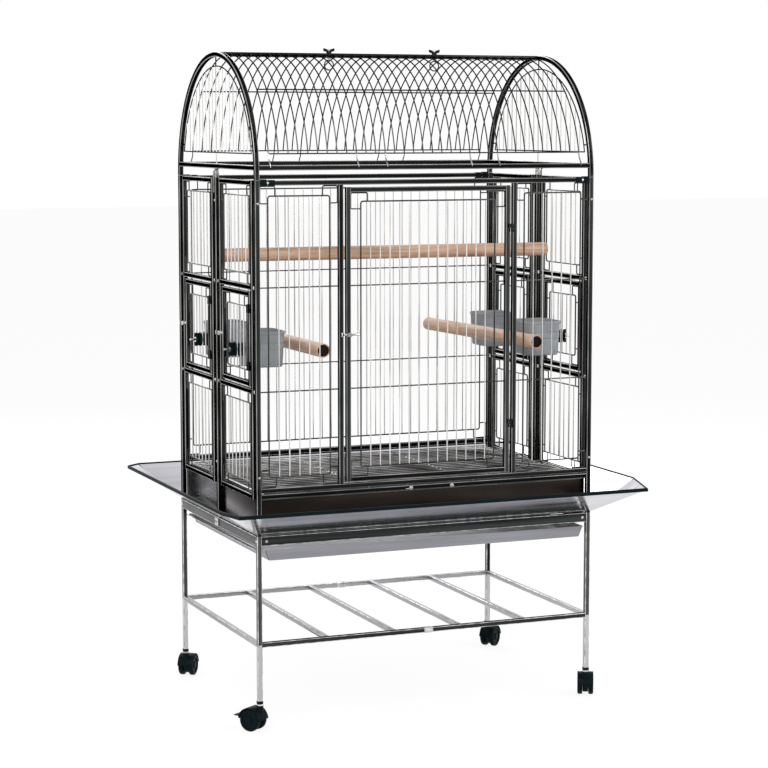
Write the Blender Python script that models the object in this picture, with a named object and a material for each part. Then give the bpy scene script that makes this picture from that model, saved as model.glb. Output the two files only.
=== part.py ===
"""Dome-top bird cage on a wheeled stand, in metres, +Z up, front at -Y.

Run with: blender --background --python part.py
"""

import math

import bmesh
import bpy
from mathutils import Matrix, Vector

# Stock and clearances
TUBE = 0.011  # side of the square tube of every frame
WIRE = 0.003  # wire of the grids
PITCH = 0.0237  # spacing of the upright wires
GAP = 0.0003  # clearance between pieces that touch
BITE = 0.003  # how far a welded wire reaches into its tube
SLIM = 0.0012  # half of a wire that crosses others, kept under theirs so that no faces meet
SHEET = 0.0015  # sheet steel of the apron, guard and tray

# Plan and heights, to the centre lines of the tubes
POST_X = 0.400
POST_Y = 0.267
PLAN_SHIFT = 0.028  # the guard reaches further at the front, so the plan moves back
LEG_FOOT_Z = 0.062
STAND_TOP_Z = 0.432
STAND_RAIL_HIGH = 0.0215
STAND_LOW_RAIL_Z = 0.192
SHELF_SLATS = 4
POST_FOOT_Z = STAND_TOP_Z + GAP
FRONT_BOTTOM_Z = 0.531
SIDE_BOTTOM_Z = 0.515
LOW_RAIL_Z = 0.745
HIGH_RAIL_Z = 0.970
TOP_RAIL_Z = 1.194
CROSSINGS = (LOW_RAIL_Z, HIGH_RAIL_Z)  # cross wires stand level with the side rails

# Wire grids
LOOP_INSET = 0.0195  # tube face to the outer wire at the sides
LOOP_INSET_END = 0.0225  # and above and below
TIE_INSET = 0.016  # from a loop's corner to its short tie wires

# Front: fixed panels, door and its hardware
STILE_X = 0.2085
DOOR_STILE_X = 0.1915
DOOR_BOTTOM_Z = 0.545
DOOR_TOP_Z = 1.178
DOOR_LOOP_INSET = 0.025
DOOR_LOOP_INSET_END = 0.020
DOOR_HINGE_ZS = (0.640, 1.080)
LATCH_Z = 0.864
BOLT_R = 0.0025
BOLT_CLEAR = 0.0004
BOLT_TIP_GAP = 0.001
BOLT_STANDOFF = 0.0045  # tube face to the bolt's centre
CATCH = 0.010  # size of a latch collar or keeper along its bolt
DOOR_BOLT_BACK = 0.038
FEEDER_BOLT_BACK = 0.030
LATCH_KNOB = 0.008
HINGE_R = 0.004
HINGE_PIN_R = 0.002
HINGE_HIGH = 0.009
HINGE_STANDOFF = 0.004

# Sides: a centre post, two half frames and two feeder doors
HALF_POST_NEAR = 0.0265  # from the middle of the side
HALF_POST_FAR = 0.2405
COUPLING_HIGH = 0.008
FEEDER_GAP = 0.005
FEEDER_RAIL_GAP = 0.004
SIDE_LOOP_INSET = 0.016
FEEDER_LOOP_INSET = 0.020
FEEDER_LATCH_Z = 0.856
FEEDER_HINGE_ZS = (0.790, 0.915)

# Feeder cups and their clamps
CUP_WIDE = 0.105
CUP_DEEP = 0.088
CUP_BOTTOM_Z = 0.787
CUP_HIGH = 0.079
CUP_TOP_Z = CUP_BOTTOM_Z + CUP_HIGH
CUP_BACK_X = 0.384
CUP_WALL = 0.0025
CUP_CORNER = 0.018
CUP_CENTRE_Y = 0.118  # from the middle of the side
CLAMP_WIDE = 0.030
CLAMP_HIGH = 0.0275
CLAMP_RISE = 0.026  # from the cup's foot to the clamp's
CLAMP_BOTTOM_Z = CUP_BOTTOM_Z + CLAMP_RISE
CLAMP_BACK_X = 0.3975
CLAMP_WALL = 0.0025
TONGUE_WIDE = 0.020
TONGUE_THICK = 0.0035
TONGUE_HIGH = 0.026
CLAMP_KNOB_R = 0.016
CLAMP_KNOB_THICK = 0.003
CLAMP_WING_WIDE = 0.006
CLAMP_WING_LONG = 0.014
CLAMP_WING_IN_R = 0.004
CLAMP_BOLT_R = 0.003
CLAMP_BOLT_END_X = 0.428

# Dome
DOME_CENTRE_Z = 1.206
DOME_R = POST_Y
DOME_RAIL_Z = 1.226
DOME_FOOT_Z = 1.2005
DOME_SEGMENTS = 16
SCREEN_SEGMENTS = 8
SCREEN_PITCH = 0.0225
SCREEN_WIRES = 34
SCREEN_TIES = (0, 9, 12, 21, 24, 33)  # the wires that run on down to the rails
END_LOOP_GAP = 0.026  # from the arch to the loop inside it
END_LOOP_R = DOME_R - END_LOOP_GAP
LOW_WIRE_RISE = 0.030  # from the dome's rails to its lowest wires
END_LOOP_Z = DOME_RAIL_Z + LOW_WIRE_RISE
LONG_WIRE_ANGLE = math.radians(45)
RIDGE_WIDE = 0.016
RIDGE_HIGH = 0.010
HOOK_X = 5.8 * SCREEN_PITCH  # between two bent wires
HOOK_R = 0.0025
HOOK_RING_R = 0.011
HOOK_SHANK_LOW = 0.006  # how far the shank reaches below the ridge bar
HOOK_SHANK_HIGH = 0.004  # and above its nut
HOOK_FLANGE_R = 0.005
HOOK_FLANGE_THICK = 0.002
RING_SEGMENTS = 12
NUT_R = 0.006
NUT_HIGH = 0.006
NUT_WING = 0.010
NUT_WING_RISE = 0.004  # a wing's tip over the nut's top
NUT_WING_FOOT = 0.001
DOME_CLIP = 0.018

# Tray, grate, apron and guard
TRAY_X = 0.388
TRAY_TAPER = 0.010  # how far its sides lean in
TRAY_TOP_Z = 0.4015
TRAY_BOTTOM_Z = 0.378
TRAY_BACK_Y = 0.250
TRAY_FLANGE_X = 0.393
TRAY_FLANGE_FRONT = 0.022  # from the front legs back to the flange
LEDGE_Z = 0.3975
LEDGE_IN_X = TRAY_X + GAP
APRON_TOP_Z = 0.511
GRATE_RAIL_Z = 0.518
GRATE_WIRES = 17
GRATE_STAYS = 2
GRATE_X = 0.386
GRATE_BAR = 0.008
GRATE_BAR_THICK = 0.004
GRATE_BAR_TOP_Z = GRATE_RAIL_Z + 0.0025
GRATE_BAR_LOW_Z = GRATE_BAR_TOP_Z - GRATE_BAR_THICK
GRATE_BACK_GAP = 0.004
GRATE_LEDGE_IN_X = 0.374
GRATE_KNOB_X = 0.050
GRATE_KNOB_R = 0.005
GRATE_KNOB_LONG = 0.010
GUARD_IN_Z = 0.4365
GUARD_RIM_Z = 0.505
GUARD_FRONT = 0.160
GUARD_SIDE = 0.112
GUARD_BACK = 0.104
GUARD_CUT = (0.015, 0.070)  # how much a corner is cut off along X and along Y
GUARD_CUT_FRONT_RIGHT = (0.047, 0.148)
GUARD_CUT_BACK = (0.032, 0.025)
EDGE_HIGH = 0.008
EDGE_THICK = 0.003

# Casters
WHEEL_R = 0.0245
WHEEL_WIDE = 0.0115
CASTER_WEB = 0.013
CASTER_SIDE_GAP = 0.0004
AXLE_R = 0.004
CASTER_TRAIL = 0.018
HOOD_THICK = 0.0025
HOOD_GAP = 0.0012
STEM_R = 0.008
STEM_LOW_Z = 0.044
WEB_LOW_R = 0.0135
HOOD_START = math.radians(5)
HOOD_STOP = math.radians(175)
WEB_LOW_START = math.radians(200)
WEB_LOW_STOP = math.radians(340)
CASTER_TURNS = {  # direction in which each caster trails, in degrees from +X
    "front_left": 125,
    "front_right": 63,
    "back_left": 54,
    "back_right": 41,
}
BRAKED = "front_left"
BRAKE_LONG = 0.013
BRAKE_WIDE = 0.022
BRAKE_THICK = 0.0024
BRAKE_BARREL_R = 0.003
BRAKE_PIN_R = 0.0012
BRAKE_RISE = 0.006  # its pin above the axle

# Perches
PERCH_R = 0.0155
PERCH_Z = 1.027
PERCH_END_GAP = 0.0005
LONG_PERCH_Y = -0.029  # its middle, from the middle of the side
LONG_PERCH_SKEW = math.radians(-3.05)
SHORT_PERCH_Z = 0.830
SHORT_PERCH_LEFT_X = -0.248
SHORT_PERCH_RIGHT_X = 0.251
SHORT_PERCH_SKEW = math.radians(3.85)

MERGE = 1e-6
CLEAN_PASSES = 6  # a filled outline's slivers go in a few passes

HALF = TUBE / 2
THIN = WIRE / 2
FRONT_FACE = POST_Y + HALF
SIDE_FACE = POST_X + HALF

STEEL = ("polished_steel", (0.23, 0.22, 0.21, 1), 0.16, 1.0)
WIRE_STEEL = ("wire_steel", (0.42, 0.41, 0.40, 1), 0.22, 1.0)
APRON_STEEL = ("apron_steel", (0.12, 0.10, 0.08, 1), 0.14, 1.0)
GUARD_STEEL = ("guard_steel", (0.55, 0.54, 0.55, 1), 0.18, 1.0)
TRAY_STEEL = ("tray_steel", (0.50, 0.50, 0.53, 1), 0.30, 0.9)
BLACK_PLASTIC = ("black_plastic", (0.015, 0.015, 0.017, 1), 0.40, 0.0)
CUP_PLASTIC = ("cup_plastic", (0.26, 0.27, 0.30, 1), 0.45, 0.0)
WOOD = ("perch_wood", (0.60, 0.33, 0.19, 1), 0.60, 0.0)

PLANES = {
    "XY": Matrix.Identity(4),
    "XZ": Matrix(((1, 0, 0, 0), (0, 0, -1, 0), (0, 1, 0, 0), (0, 0, 0, 1))),
    "YZ": Matrix(((0, 0, 1, 0), (1, 0, 0, 0), (0, 1, 0, 0), (0, 0, 0, 1))),
}
TURN_TO = {
    "X": Matrix.Rotation(math.pi / 2, 4, "Y"),
    "Y": Matrix.Rotation(-math.pi / 2, 4, "X"),
    "Z": Matrix.Identity(4),
}


def clear_scene():
    for obj in list(bpy.data.objects):
        bpy.data.objects.remove(obj, do_unlink=True)


def collection_named(name):
    found = bpy.data.collections.new(name)
    bpy.context.scene.collection.children.link(found)
    return found


def material_of(spec):
    name, color, roughness, metallic = spec
    found = bpy.data.materials.get(name)
    if found:
        return found
    made = bpy.data.materials.new(name)
    made.use_nodes = True
    shader = made.node_tree.nodes["Principled BSDF"]
    shader.inputs["Base Color"].default_value = color
    shader.inputs["Roughness"].default_value = roughness
    shader.inputs["Metallic"].default_value = metallic
    made.diffuse_color = color
    return made


def shape(mesh):
    obj = bpy.data.objects.new("shape", mesh)
    bpy.context.scene.collection.objects.link(obj)
    return obj


def shape_from(bm):
    bmesh.ops.recalc_face_normals(bm, faces=bm.faces)
    mesh = bpy.data.meshes.new("shape")
    bm.to_mesh(mesh)
    bm.free()
    return shape(mesh)


def box(xs, ys, zs):
    """A box between two values along each axis."""
    bm = bmesh.new()
    bmesh.ops.create_cube(bm, size=1.0)
    size = Vector((abs(xs[1] - xs[0]), abs(ys[1] - ys[0]), abs(zs[1] - zs[0])))
    middle = Vector((sum(xs) / 2, sum(ys) / 2, sum(zs) / 2))
    bmesh.ops.scale(bm, vec=size, verts=bm.verts)
    bmesh.ops.translate(bm, vec=middle, verts=bm.verts)
    return shape_from(bm)


def rod(axis, centre, radius, length, segments=8):
    """A cylinder along an axis about its centre."""
    bm = bmesh.new()
    bmesh.ops.create_cone(
        bm,
        cap_ends=True,
        segments=segments,
        radius1=radius,
        radius2=radius,
        depth=length,
        matrix=Matrix.Translation(centre) @ TURN_TO[axis],
    )
    return shape_from(bm)


def outline(plane, loops, middle, depth):
    """A flat outline, whose later loops are holes, extruded about middle along the plane's normal."""
    curve = bpy.data.curves.new("outline", "CURVE")
    curve.dimensions = "2D"
    curve.fill_mode = "BOTH"
    curve.extrude = depth / 2
    for points in loops:
        spline = curve.splines.new("POLY")
        spline.points.add(len(points) - 1)
        for point, (u, v) in zip(spline.points, points):
            point.co = (u, v, 0, 1)
        spline.use_cyclic_u = True
    obj = bpy.data.objects.new("outline", curve)
    bpy.context.scene.collection.objects.link(obj)
    normal = -middle if plane == "XZ" else middle
    obj.matrix_world = PLANES[plane] @ Matrix.Translation((0, 0, normal))
    return meshed(obj)


def meshed(obj):
    """The evaluated mesh of a curve or of an object with modifiers, as a new object in world space."""
    bpy.context.view_layer.update()
    graph = bpy.context.evaluated_depsgraph_get()
    mesh = bpy.data.meshes.new_from_object(obj.evaluated_get(graph))
    mesh.transform(obj.matrix_world)
    bpy.data.objects.remove(obj, do_unlink=True)
    bm = bmesh.new()
    bm.from_mesh(mesh)
    bmesh.ops.remove_doubles(bm, verts=bm.verts, dist=MERGE)
    for _ in range(CLEAN_PASSES):
        bmesh.ops.dissolve_degenerate(bm, dist=MERGE, edges=bm.edges)
    bmesh.ops.recalc_face_normals(bm, faces=bm.faces)
    bm.to_mesh(mesh)
    bm.free()
    return shape(mesh)


def combined(base, others, operation):
    for other in others:
        step = base.modifiers.new(operation.lower(), "BOOLEAN")
        step.operation = operation
        step.solver = "EXACT"
        step.object = other
    result = meshed(base)
    for other in others:
        bpy.data.objects.remove(other, do_unlink=True)
    return result


def union(base, *others):
    return combined(base, others, "UNION")


def cut(base, *others):
    return combined(base, others, "DIFFERENCE")


def wire_ring(centre, radius):
    """A ring of wire that stands in the XZ plane."""
    curve = bpy.data.curves.new("ring", "CURVE")
    curve.dimensions = "3D"
    curve.bevel_depth = THIN
    curve.bevel_resolution = 1
    spline = curve.splines.new("POLY")
    spline.points.add(RING_SEGMENTS - 1)
    for point, (u, v) in zip(spline.points, arc(radius, 0, 2 * math.pi, RING_SEGMENTS)):
        point.co = (u, 0, v, 1)
    spline.use_cyclic_u = True
    obj = bpy.data.objects.new("ring", curve)
    bpy.context.scene.collection.objects.link(obj)
    obj.location = centre
    return meshed(obj)


def side_by_side(objects):
    """Bodies that don't meet, held in one mesh so that one union adds them all."""
    bm = bmesh.new()
    for obj in objects:
        bm.from_mesh(obj.data)
        bpy.data.objects.remove(obj, do_unlink=True)
    return shape_from(bm)


def piece(name, obj, finish, origin=(0, 0, 0), parent=None, smooth=False):
    """Names a shape, gives it its material and puts its origin on its joint's axis."""
    origin = Vector(origin)
    obj.name = name
    obj.data.name = name
    obj.data.transform(Matrix.Translation(-origin))
    obj.location = origin
    obj.data.materials.clear()
    obj.data.materials.append(material_of(finish))
    if smooth:
        obj.data.shade_smooth()
        obj.data.set_sharp_from_angle(angle=math.radians(35))
    bpy.context.scene.collection.objects.unlink(obj)
    bpy.data.collections["bird_cage"].objects.link(obj)
    if parent:
        bpy.context.view_layer.update()
        obj.parent = parent
        obj.matrix_parent_inverse = parent.matrix_world.inverted()
    return obj


def rectangle(u0, u1, v0, v1):
    return [(u0, v0), (u1, v0), (u1, v1), (u0, v1)]


def arc(radius, start, end, segments, centre=(0.0, 0.0)):
    return [
        (
            centre[0] + radius * math.cos(start + (end - start) * k / segments),
            centre[1] + radius * math.sin(start + (end - start) * k / segments),
        )
        for k in range(segments + 1)
    ]


def spaced(start, end, pitch):
    """The lines that split a span into equal steps near the pitch, both ends included."""
    count = max(2, round((end - start) / pitch))
    return [start + (end - start) * k / count for k in range(count + 1)]


def grid_loops(opening, inset, inset_end, crossings=()):
    """A wire loop with ties into the frame round it, and the gaps between its wires."""
    fu0, fu1, fv0, fv1 = opening
    u0, u1 = fu0 + inset, fu1 - inset
    v0, v1 = fv0 + inset_end, fv1 - inset_end
    edge = [(u0 - THIN, v0 - THIN)]
    for u in (u0 + TIE_INSET, u1 - TIE_INSET):
        edge += [(u - THIN, v0 - THIN), (u - THIN, fv0 - BITE)]
        edge += [(u + THIN, fv0 - BITE), (u + THIN, v0 - THIN)]
    edge.append((u1 + THIN, v0 - THIN))
    for v in (v0 + TIE_INSET, v1 - TIE_INSET):
        edge += [(u1 + THIN, v - THIN), (fu1 + BITE, v - THIN)]
        edge += [(fu1 + BITE, v + THIN), (u1 + THIN, v + THIN)]
    edge.append((u1 + THIN, v1 + THIN))
    for u in (u1 - TIE_INSET, u0 + TIE_INSET):
        edge += [(u + THIN, v1 + THIN), (u + THIN, fv1 + BITE)]
        edge += [(u - THIN, fv1 + BITE), (u - THIN, v1 + THIN)]
    edge.append((u0 - THIN, v1 + THIN))
    for v in (v1 - TIE_INSET, v0 + TIE_INSET):
        edge += [(u0 - THIN, v + THIN), (fu0 - BITE, v + THIN)]
        edge += [(fu0 - BITE, v - THIN), (u0 - THIN, v - THIN)]
    uprights = spaced(u0, u1, PITCH)
    levels = [v0, *crossings, v1]
    gaps = [
        rectangle(ua + THIN, ub - THIN, va + THIN, vb - THIN)
        for ua, ub in zip(uprights, uprights[1:])
        for va, vb in zip(levels, levels[1:])
    ]
    return [edge, *gaps]


def cross_ends(opening, inset, y):
    """The ends of a net's two cross wires, from its loop's sides into the tubes."""
    left, right = opening[:2]
    return [
        box((a, b), (y - SLIM, y + SLIM), (z - SLIM, z + SLIM))
        for z in CROSSINGS
        for a, b in ((left - BITE, left + inset), (right - inset, right + BITE))
    ]


def grid(plane, opening, middle, inset=LOOP_INSET, inset_end=LOOP_INSET_END, crossings=()):
    return outline(plane, grid_loops(opening, inset, inset_end, crossings), middle, WIRE)



def add_stand():
    inner_y = POST_Y - HALF
    rail_low = STAND_TOP_Z - STAND_RAIL_HIGH
    for side, name in ((-1, "stand_side_left"), (1, "stand_side_right")):
        edge = [
            (-FRONT_FACE, LEG_FOOT_Z),
            (-inner_y, LEG_FOOT_Z),
            (-inner_y, STAND_LOW_RAIL_Z - HALF),
            (inner_y, STAND_LOW_RAIL_Z - HALF),
            (inner_y, LEG_FOOT_Z),
            (FRONT_FACE, LEG_FOOT_Z),
            (FRONT_FACE, STAND_TOP_Z),
            (-FRONT_FACE, STAND_TOP_Z),
        ]
        hole = rectangle(-inner_y, inner_y, STAND_LOW_RAIL_Z + HALF, rail_low)
        frame = outline("YZ", [edge, hole], side * POST_X, TUBE)
        ledge = box(
            (side * LEDGE_IN_X, side * POST_X),
            (-inner_y + TUBE, inner_y - TUBE),
            (LEDGE_Z - SHEET, LEDGE_Z),
        )
        web = box(
            (side * (POST_X - SHEET), side * POST_X),
            (-inner_y + TUBE, inner_y - TUBE),
            (LEDGE_Z - SHEET / 2, rail_low + BITE),
        )
        piece(name, union(frame, ledge, web), STEEL)
    end_x = POST_X - HALF - GAP
    for end, name in ((-1, "stand_rail_front"), (1, "stand_rail_back")):
        rail = box(
            (-end_x, end_x),
            (end * POST_Y - HALF, end * POST_Y + HALF),
            (rail_low, STAND_TOP_Z),
        )
        piece(name, rail, STEEL)


def add_shelf():
    end_x = POST_X - HALF - GAP
    inner_y = POST_Y - HALF
    bay = 2 * POST_X / (SHELF_SLATS + 1)
    slats = [-POST_X + bay * (k + 1) for k in range(SHELF_SLATS)]
    edge = [
        (-end_x, -FRONT_FACE),
        (end_x, -FRONT_FACE),
        (end_x, -inner_y),
        (slats[-1] + HALF, -inner_y),
        (slats[-1] + HALF, inner_y),
        (end_x, inner_y),
        (end_x, FRONT_FACE),
        (-end_x, FRONT_FACE),
        (-end_x, inner_y),
        (slats[0] - HALF, inner_y),
        (slats[0] - HALF, -inner_y),
        (-end_x, -inner_y),
    ]
    holes = [rectangle(a + HALF, b - HALF, -inner_y, inner_y) for a, b in zip(slats, slats[1:])]
    shelf = outline("XY", [edge, *holes], STAND_LOW_RAIL_Z, TUBE)
    piece("storage_shelf", shelf, STEEL)


def add_casters():
    corners = {
        "front_left": (-POST_X, -POST_Y),
        "front_right": (POST_X, -POST_Y),
        "back_left": (-POST_X, POST_Y),
        "back_right": (POST_X, POST_Y),
    }
    side_x = CASTER_WEB / 2 + CASTER_SIDE_GAP
    hood_in = WHEEL_R + HOOD_GAP
    hood_out = hood_in + HOOD_THICK
    hood_wide = 2 * (side_x + WHEEL_WIDE)
    stem_top = LEG_FOOT_Z - GAP
    for corner, (x, y) in corners.items():
        # Built trailing along +X with its axle along Y, then turned about the stem.
        web_edge = arc(hood_out - HOOD_THICK / 2, -HOOD_START, math.pi + HOOD_START, 10)
        web_edge += arc(WEB_LOW_R, WEB_LOW_START, WEB_LOW_STOP, 4)
        web_edge = [(CASTER_TRAIL + u, WHEEL_R + v) for u, v in web_edge]
        axle_hole = [
            (CASTER_TRAIL + u, WHEEL_R + v)
            for u, v in arc(AXLE_R + GAP, 0, 2 * math.pi * 11 / 12, 11)
        ]
        web = outline("XZ", [web_edge, axle_hole], 0, CASTER_WEB)
        hood_edge = arc(hood_out, HOOD_START, HOOD_STOP, 10)
        hood_edge += arc(hood_in, HOOD_STOP, HOOD_START, 10)
        hood_edge = [(CASTER_TRAIL + u, WHEEL_R + v) for u, v in hood_edge]
        hood = outline("XZ", [hood_edge], 0, hood_wide)
        stem_middle = (STEM_LOW_Z + stem_top) / 2
        stem = rod("Z", (0, 0, stem_middle), STEM_R, stem_top - STEM_LOW_Z, 12)
        hood_mid = hood_in + HOOD_THICK / 2
        stem = cut(stem, rod("Y", (CASTER_TRAIL, 0, WHEEL_R), hood_mid, 4 * STEM_R, 20))
        fork = union(web, hood, stem)
        if corner == BRAKED:
            fork = union(fork, *brake_ears(hood_out))
        wheels = union(
            rod("Y", (CASTER_TRAIL, 0, WHEEL_R), AXLE_R, CASTER_WEB + 2 * WHEEL_WIDE, 12),
            rod("Y", (CASTER_TRAIL, -side_x - WHEEL_WIDE / 2, WHEEL_R), WHEEL_R, WHEEL_WIDE, 20),
            rod("Y", (CASTER_TRAIL, side_x + WHEEL_WIDE / 2, WHEEL_R), WHEEL_R, WHEEL_WIDE, 20),
        )
        turn = Matrix.Translation((x, y, 0)) @ Matrix.Rotation(
            math.radians(CASTER_TURNS[corner]), 4, "Z"
        )
        fork.data.transform(turn)
        wheels.data.transform(turn)
        made = piece(f"caster_fork_{corner}", fork, BLACK_PLASTIC, (x, y, stem_top), smooth=True)
        axle = turn @ Vector((CASTER_TRAIL, 0, WHEEL_R))
        piece(f"caster_wheels_{corner}", wheels, BLACK_PLASTIC, axle, made, smooth=True)
        if corner == BRAKED:
            add_brake(turn, hood_out, made)


def brake_pivot(hood_out):
    return CASTER_TRAIL + hood_out + BRAKE_BARREL_R + GAP, WHEEL_R + BRAKE_RISE


def brake_ears(hood_out):
    """Two ears on the hood and the pin between them."""
    pivot_x, pivot_z = brake_pivot(hood_out)
    ears = [
        box(
            (pivot_x - BRAKE_BARREL_R - HOOD_THICK, pivot_x + BRAKE_BARREL_R),
            (side * (BRAKE_WIDE / 2 + GAP), side * (BRAKE_WIDE / 2 + GAP + HOOD_THICK)),
            (pivot_z - BRAKE_BARREL_R, pivot_z + BRAKE_BARREL_R),
        )
        for side in (-1, 1)
    ]
    return [*ears, rod("Y", (pivot_x, 0, pivot_z), BRAKE_PIN_R, BRAKE_WIDE + HOOD_THICK)]


def add_brake(turn, hood_out, fork):
    """A foot lever that turns on a pin behind the hood."""
    pivot_x, pivot_z = brake_pivot(hood_out)
    lever = union(
        rod("Y", (pivot_x, 0, pivot_z), BRAKE_BARREL_R, BRAKE_WIDE),
        box(
            (pivot_x, pivot_x + BRAKE_LONG),
            (-BRAKE_WIDE / 2, BRAKE_WIDE / 2),
            (pivot_z - BRAKE_THICK / 2, pivot_z + BRAKE_THICK / 2),
        ),
    )
    lever = cut(lever, rod("Y", (pivot_x, 0, pivot_z), BRAKE_PIN_R + GAP, 2 * BRAKE_WIDE))
    lever.data.transform(turn)
    pivot = turn @ Vector((pivot_x, 0, pivot_z))
    piece("caster_brake_front_left", lever, BLACK_PLASTIC, pivot, fork)



def add_tray():
    front = -FRONT_FACE
    flange_low = LEDGE_Z + GAP
    outer = outline(
        "XZ",
        [
            [
                (-TRAY_X + TRAY_TAPER, TRAY_BOTTOM_Z),
                (TRAY_X - TRAY_TAPER, TRAY_BOTTOM_Z),
                (TRAY_X, TRAY_TOP_Z),
                (-TRAY_X, TRAY_TOP_Z),
            ]
        ],
        (front + TRAY_BACK_Y) / 2,
        TRAY_BACK_Y - front,
    )
    flange_high = flange_low + SHEET
    rim = box(
        (-TRAY_FLANGE_X, TRAY_FLANGE_X),
        (-POST_Y + TRAY_FLANGE_FRONT, TRAY_BACK_Y),
        (flange_low, flange_high),
    )
    hollow = outline(
        "XZ",
        [
            [
                (-TRAY_X + TRAY_TAPER + SHEET, TRAY_BOTTOM_Z + SHEET),
                (TRAY_X - TRAY_TAPER - SHEET, TRAY_BOTTOM_Z + SHEET),
                (TRAY_X - SHEET, TRAY_TOP_Z + SHEET),
                (-TRAY_X + SHEET, TRAY_TOP_Z + SHEET),
            ]
        ],
        (front + TRAY_BACK_Y) / 2,
        TRAY_BACK_Y - front - 2 * SHEET,
    )
    piece("tray", cut(union(outer, rim), hollow), TRAY_STEEL)


def add_grate():
    """A pull-out grate: a front tube, two flat side bars, wires across and stays along."""
    end_x = POST_X - HALF - GAP
    back_y = POST_Y - HALF - GRATE_BACK_GAP
    front_y = -POST_Y
    wires = spaced(front_y + PITCH / 2, back_y - THIN, (back_y - front_y) / GRATE_WIRES)
    stays = spaced(-GRATE_X + GRATE_BAR, GRATE_X - GRATE_BAR, 2 * GRATE_X / (GRATE_STAYS + 1))
    lines = [front_y, *wires]
    edge = rectangle(-GRATE_X, GRATE_X, front_y, back_y)
    gaps = []
    for ya, yb in zip(lines, lines[1:]):
        for index, (xa, xb) in enumerate(zip(stays, stays[1:])):
            left = xa if index == 0 else xa + THIN
            right = xb if index == len(stays) - 2 else xb - THIN
            low = ya + HALF / 2 if ya == front_y else ya + THIN
            gaps.append(rectangle(left, right, low, yb - THIN))
    middle = GRATE_BAR_TOP_Z - GRATE_BAR_THICK / 2
    net = outline("XY", [edge, *gaps], middle, GRATE_BAR_THICK)
    tube = box(
        (-end_x, end_x), (-FRONT_FACE, -POST_Y + HALF), (GRATE_RAIL_Z - HALF, GRATE_RAIL_Z + HALF)
    )
    knob_y = -FRONT_FACE - GRATE_KNOB_LONG / 2 + BITE / 3
    knobs = [
        rod("Y", (side * GRATE_KNOB_X, knob_y, GRATE_RAIL_Z), GRATE_KNOB_R, GRATE_KNOB_LONG)
        for side in (-1, 1)
    ]
    piece("grate", union(tube, net, *knobs), WIRE_STEEL)


def add_apron():
    out_x = POST_X - HALF - GAP
    out_y = POST_Y - HALF - GAP
    ring = outline(
        "XY",
        [
            rectangle(-out_x, out_x, -out_y, out_y),
            rectangle(-out_x + SHEET, out_x - SHEET, -out_y + SHEET, out_y - SHEET),
        ],
        (POST_FOOT_Z + APRON_TOP_Z) / 2,
        APRON_TOP_Z - POST_FOOT_Z,
    )
    ledge_top = GRATE_BAR_LOW_Z - GAP
    ledges = []
    for side in (-1, 1):
        ledges.append(
            box(
                (side * GRATE_LEDGE_IN_X, side * out_x),
                (-out_y + TUBE, out_y - TUBE),
                (ledge_top - SHEET, ledge_top),
            )
        )
        ledges.append(
            box(
                (side * (out_x - SHEET), side * out_x),
                (-out_y + TUBE, out_y - TUBE),
                (APRON_TOP_Z - BITE, ledge_top - SHEET / 2),
            )
        )
    piece("base_apron", union(ring, *ledges), APRON_STEEL)


def guard_corners():
    """Plan points of the rim, front left first and round to back left: two at each corner."""
    x = POST_X + GUARD_SIDE
    front, back = -POST_Y - GUARD_FRONT, POST_Y + GUARD_BACK
    fl, fr, bk = GUARD_CUT, GUARD_CUT_FRONT_RIGHT, GUARD_CUT_BACK
    return {
        "front_left": [(-x, front + fl[1]), (-x + fl[0], front)],
        "front_right": [(x - fr[0], front), (x, front + fr[1])],
        "back_right": [(x, back - bk[1]), (x - bk[0], back)],
        "back_left": [(-x + bk[0], back), (-x, back - bk[1])],
    }


def bent_sheet(points, faces):
    """Flat facets of sheet steel that share edges, given by their upper corners."""
    bm = bmesh.new()
    upper = [bm.verts.new(p) for p in points]
    for face in faces:
        bm.faces.new([upper[i] for i in face])
    grown = bmesh.ops.extrude_face_region(bm, geom=bm.faces[:], use_keep_orig=True)
    moved = [v for v in grown["geom"] if isinstance(v, bmesh.types.BMVert)]
    bmesh.ops.translate(bm, vec=(0, 0, -SHEET), verts=moved)
    return shape_from(bm)


def add_guard():
    rim = guard_corners()
    in_x = SIDE_FACE + GAP
    in_y = FRONT_FACE + GAP
    z0, z1 = GUARD_IN_Z, GUARD_RIM_Z
    for name, sign, left, right in (
        ("seed_guard_front", -1, rim["front_left"], rim["front_right"]),
        ("seed_guard_back", 1, rim["back_left"], rim["back_right"]),
    ):
        if sign < 0:
            (lx, ly), (lfx, lfy) = left
            (rfx, rfy), (rx, ry) = right
        else:
            (lfx, lfy), (lx, ly) = left
            (rx, ry), (rfx, rfy) = right
        points = [
            (-in_x, sign * in_y, z0),
            (in_x, sign * in_y, z0),
            (rx, ry, z1),
            (rfx, rfy, z1),
            (lfx, lfy, z1),
            (lx, ly, z1),
        ]
        faces = [(0, 1, 3, 4), (1, 2, 3), (0, 4, 5)]
        piece(name, bent_sheet(points, faces), GUARD_STEEL)
    for name, side, front, back in (
        ("seed_guard_left", -1, rim["front_left"][0], rim["back_left"][1]),
        ("seed_guard_right", 1, rim["front_right"][1], rim["back_right"][0]),
    ):
        step = 2 * GAP
        points = [
            (side * in_x, -in_y + step, z0),
            (front[0], front[1] + step, z1),
            (back[0], back[1] - step, z1),
            (side * in_x, in_y - step, z0),
        ]
        piece(name, bent_sheet(points, [(0, 1, 2, 3)]), GUARD_STEEL)
    ring = [p for corner in rim.values() for p in corner]
    inner = offset_ring(ring, GAP)
    outer = offset_ring(ring, GAP + EDGE_THICK)
    edging = outline("XY", [outer, inner], GUARD_RIM_Z - SHEET / 2, EDGE_HIGH)
    piece("seed_guard_edging", edging, BLACK_PLASTIC)


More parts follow.
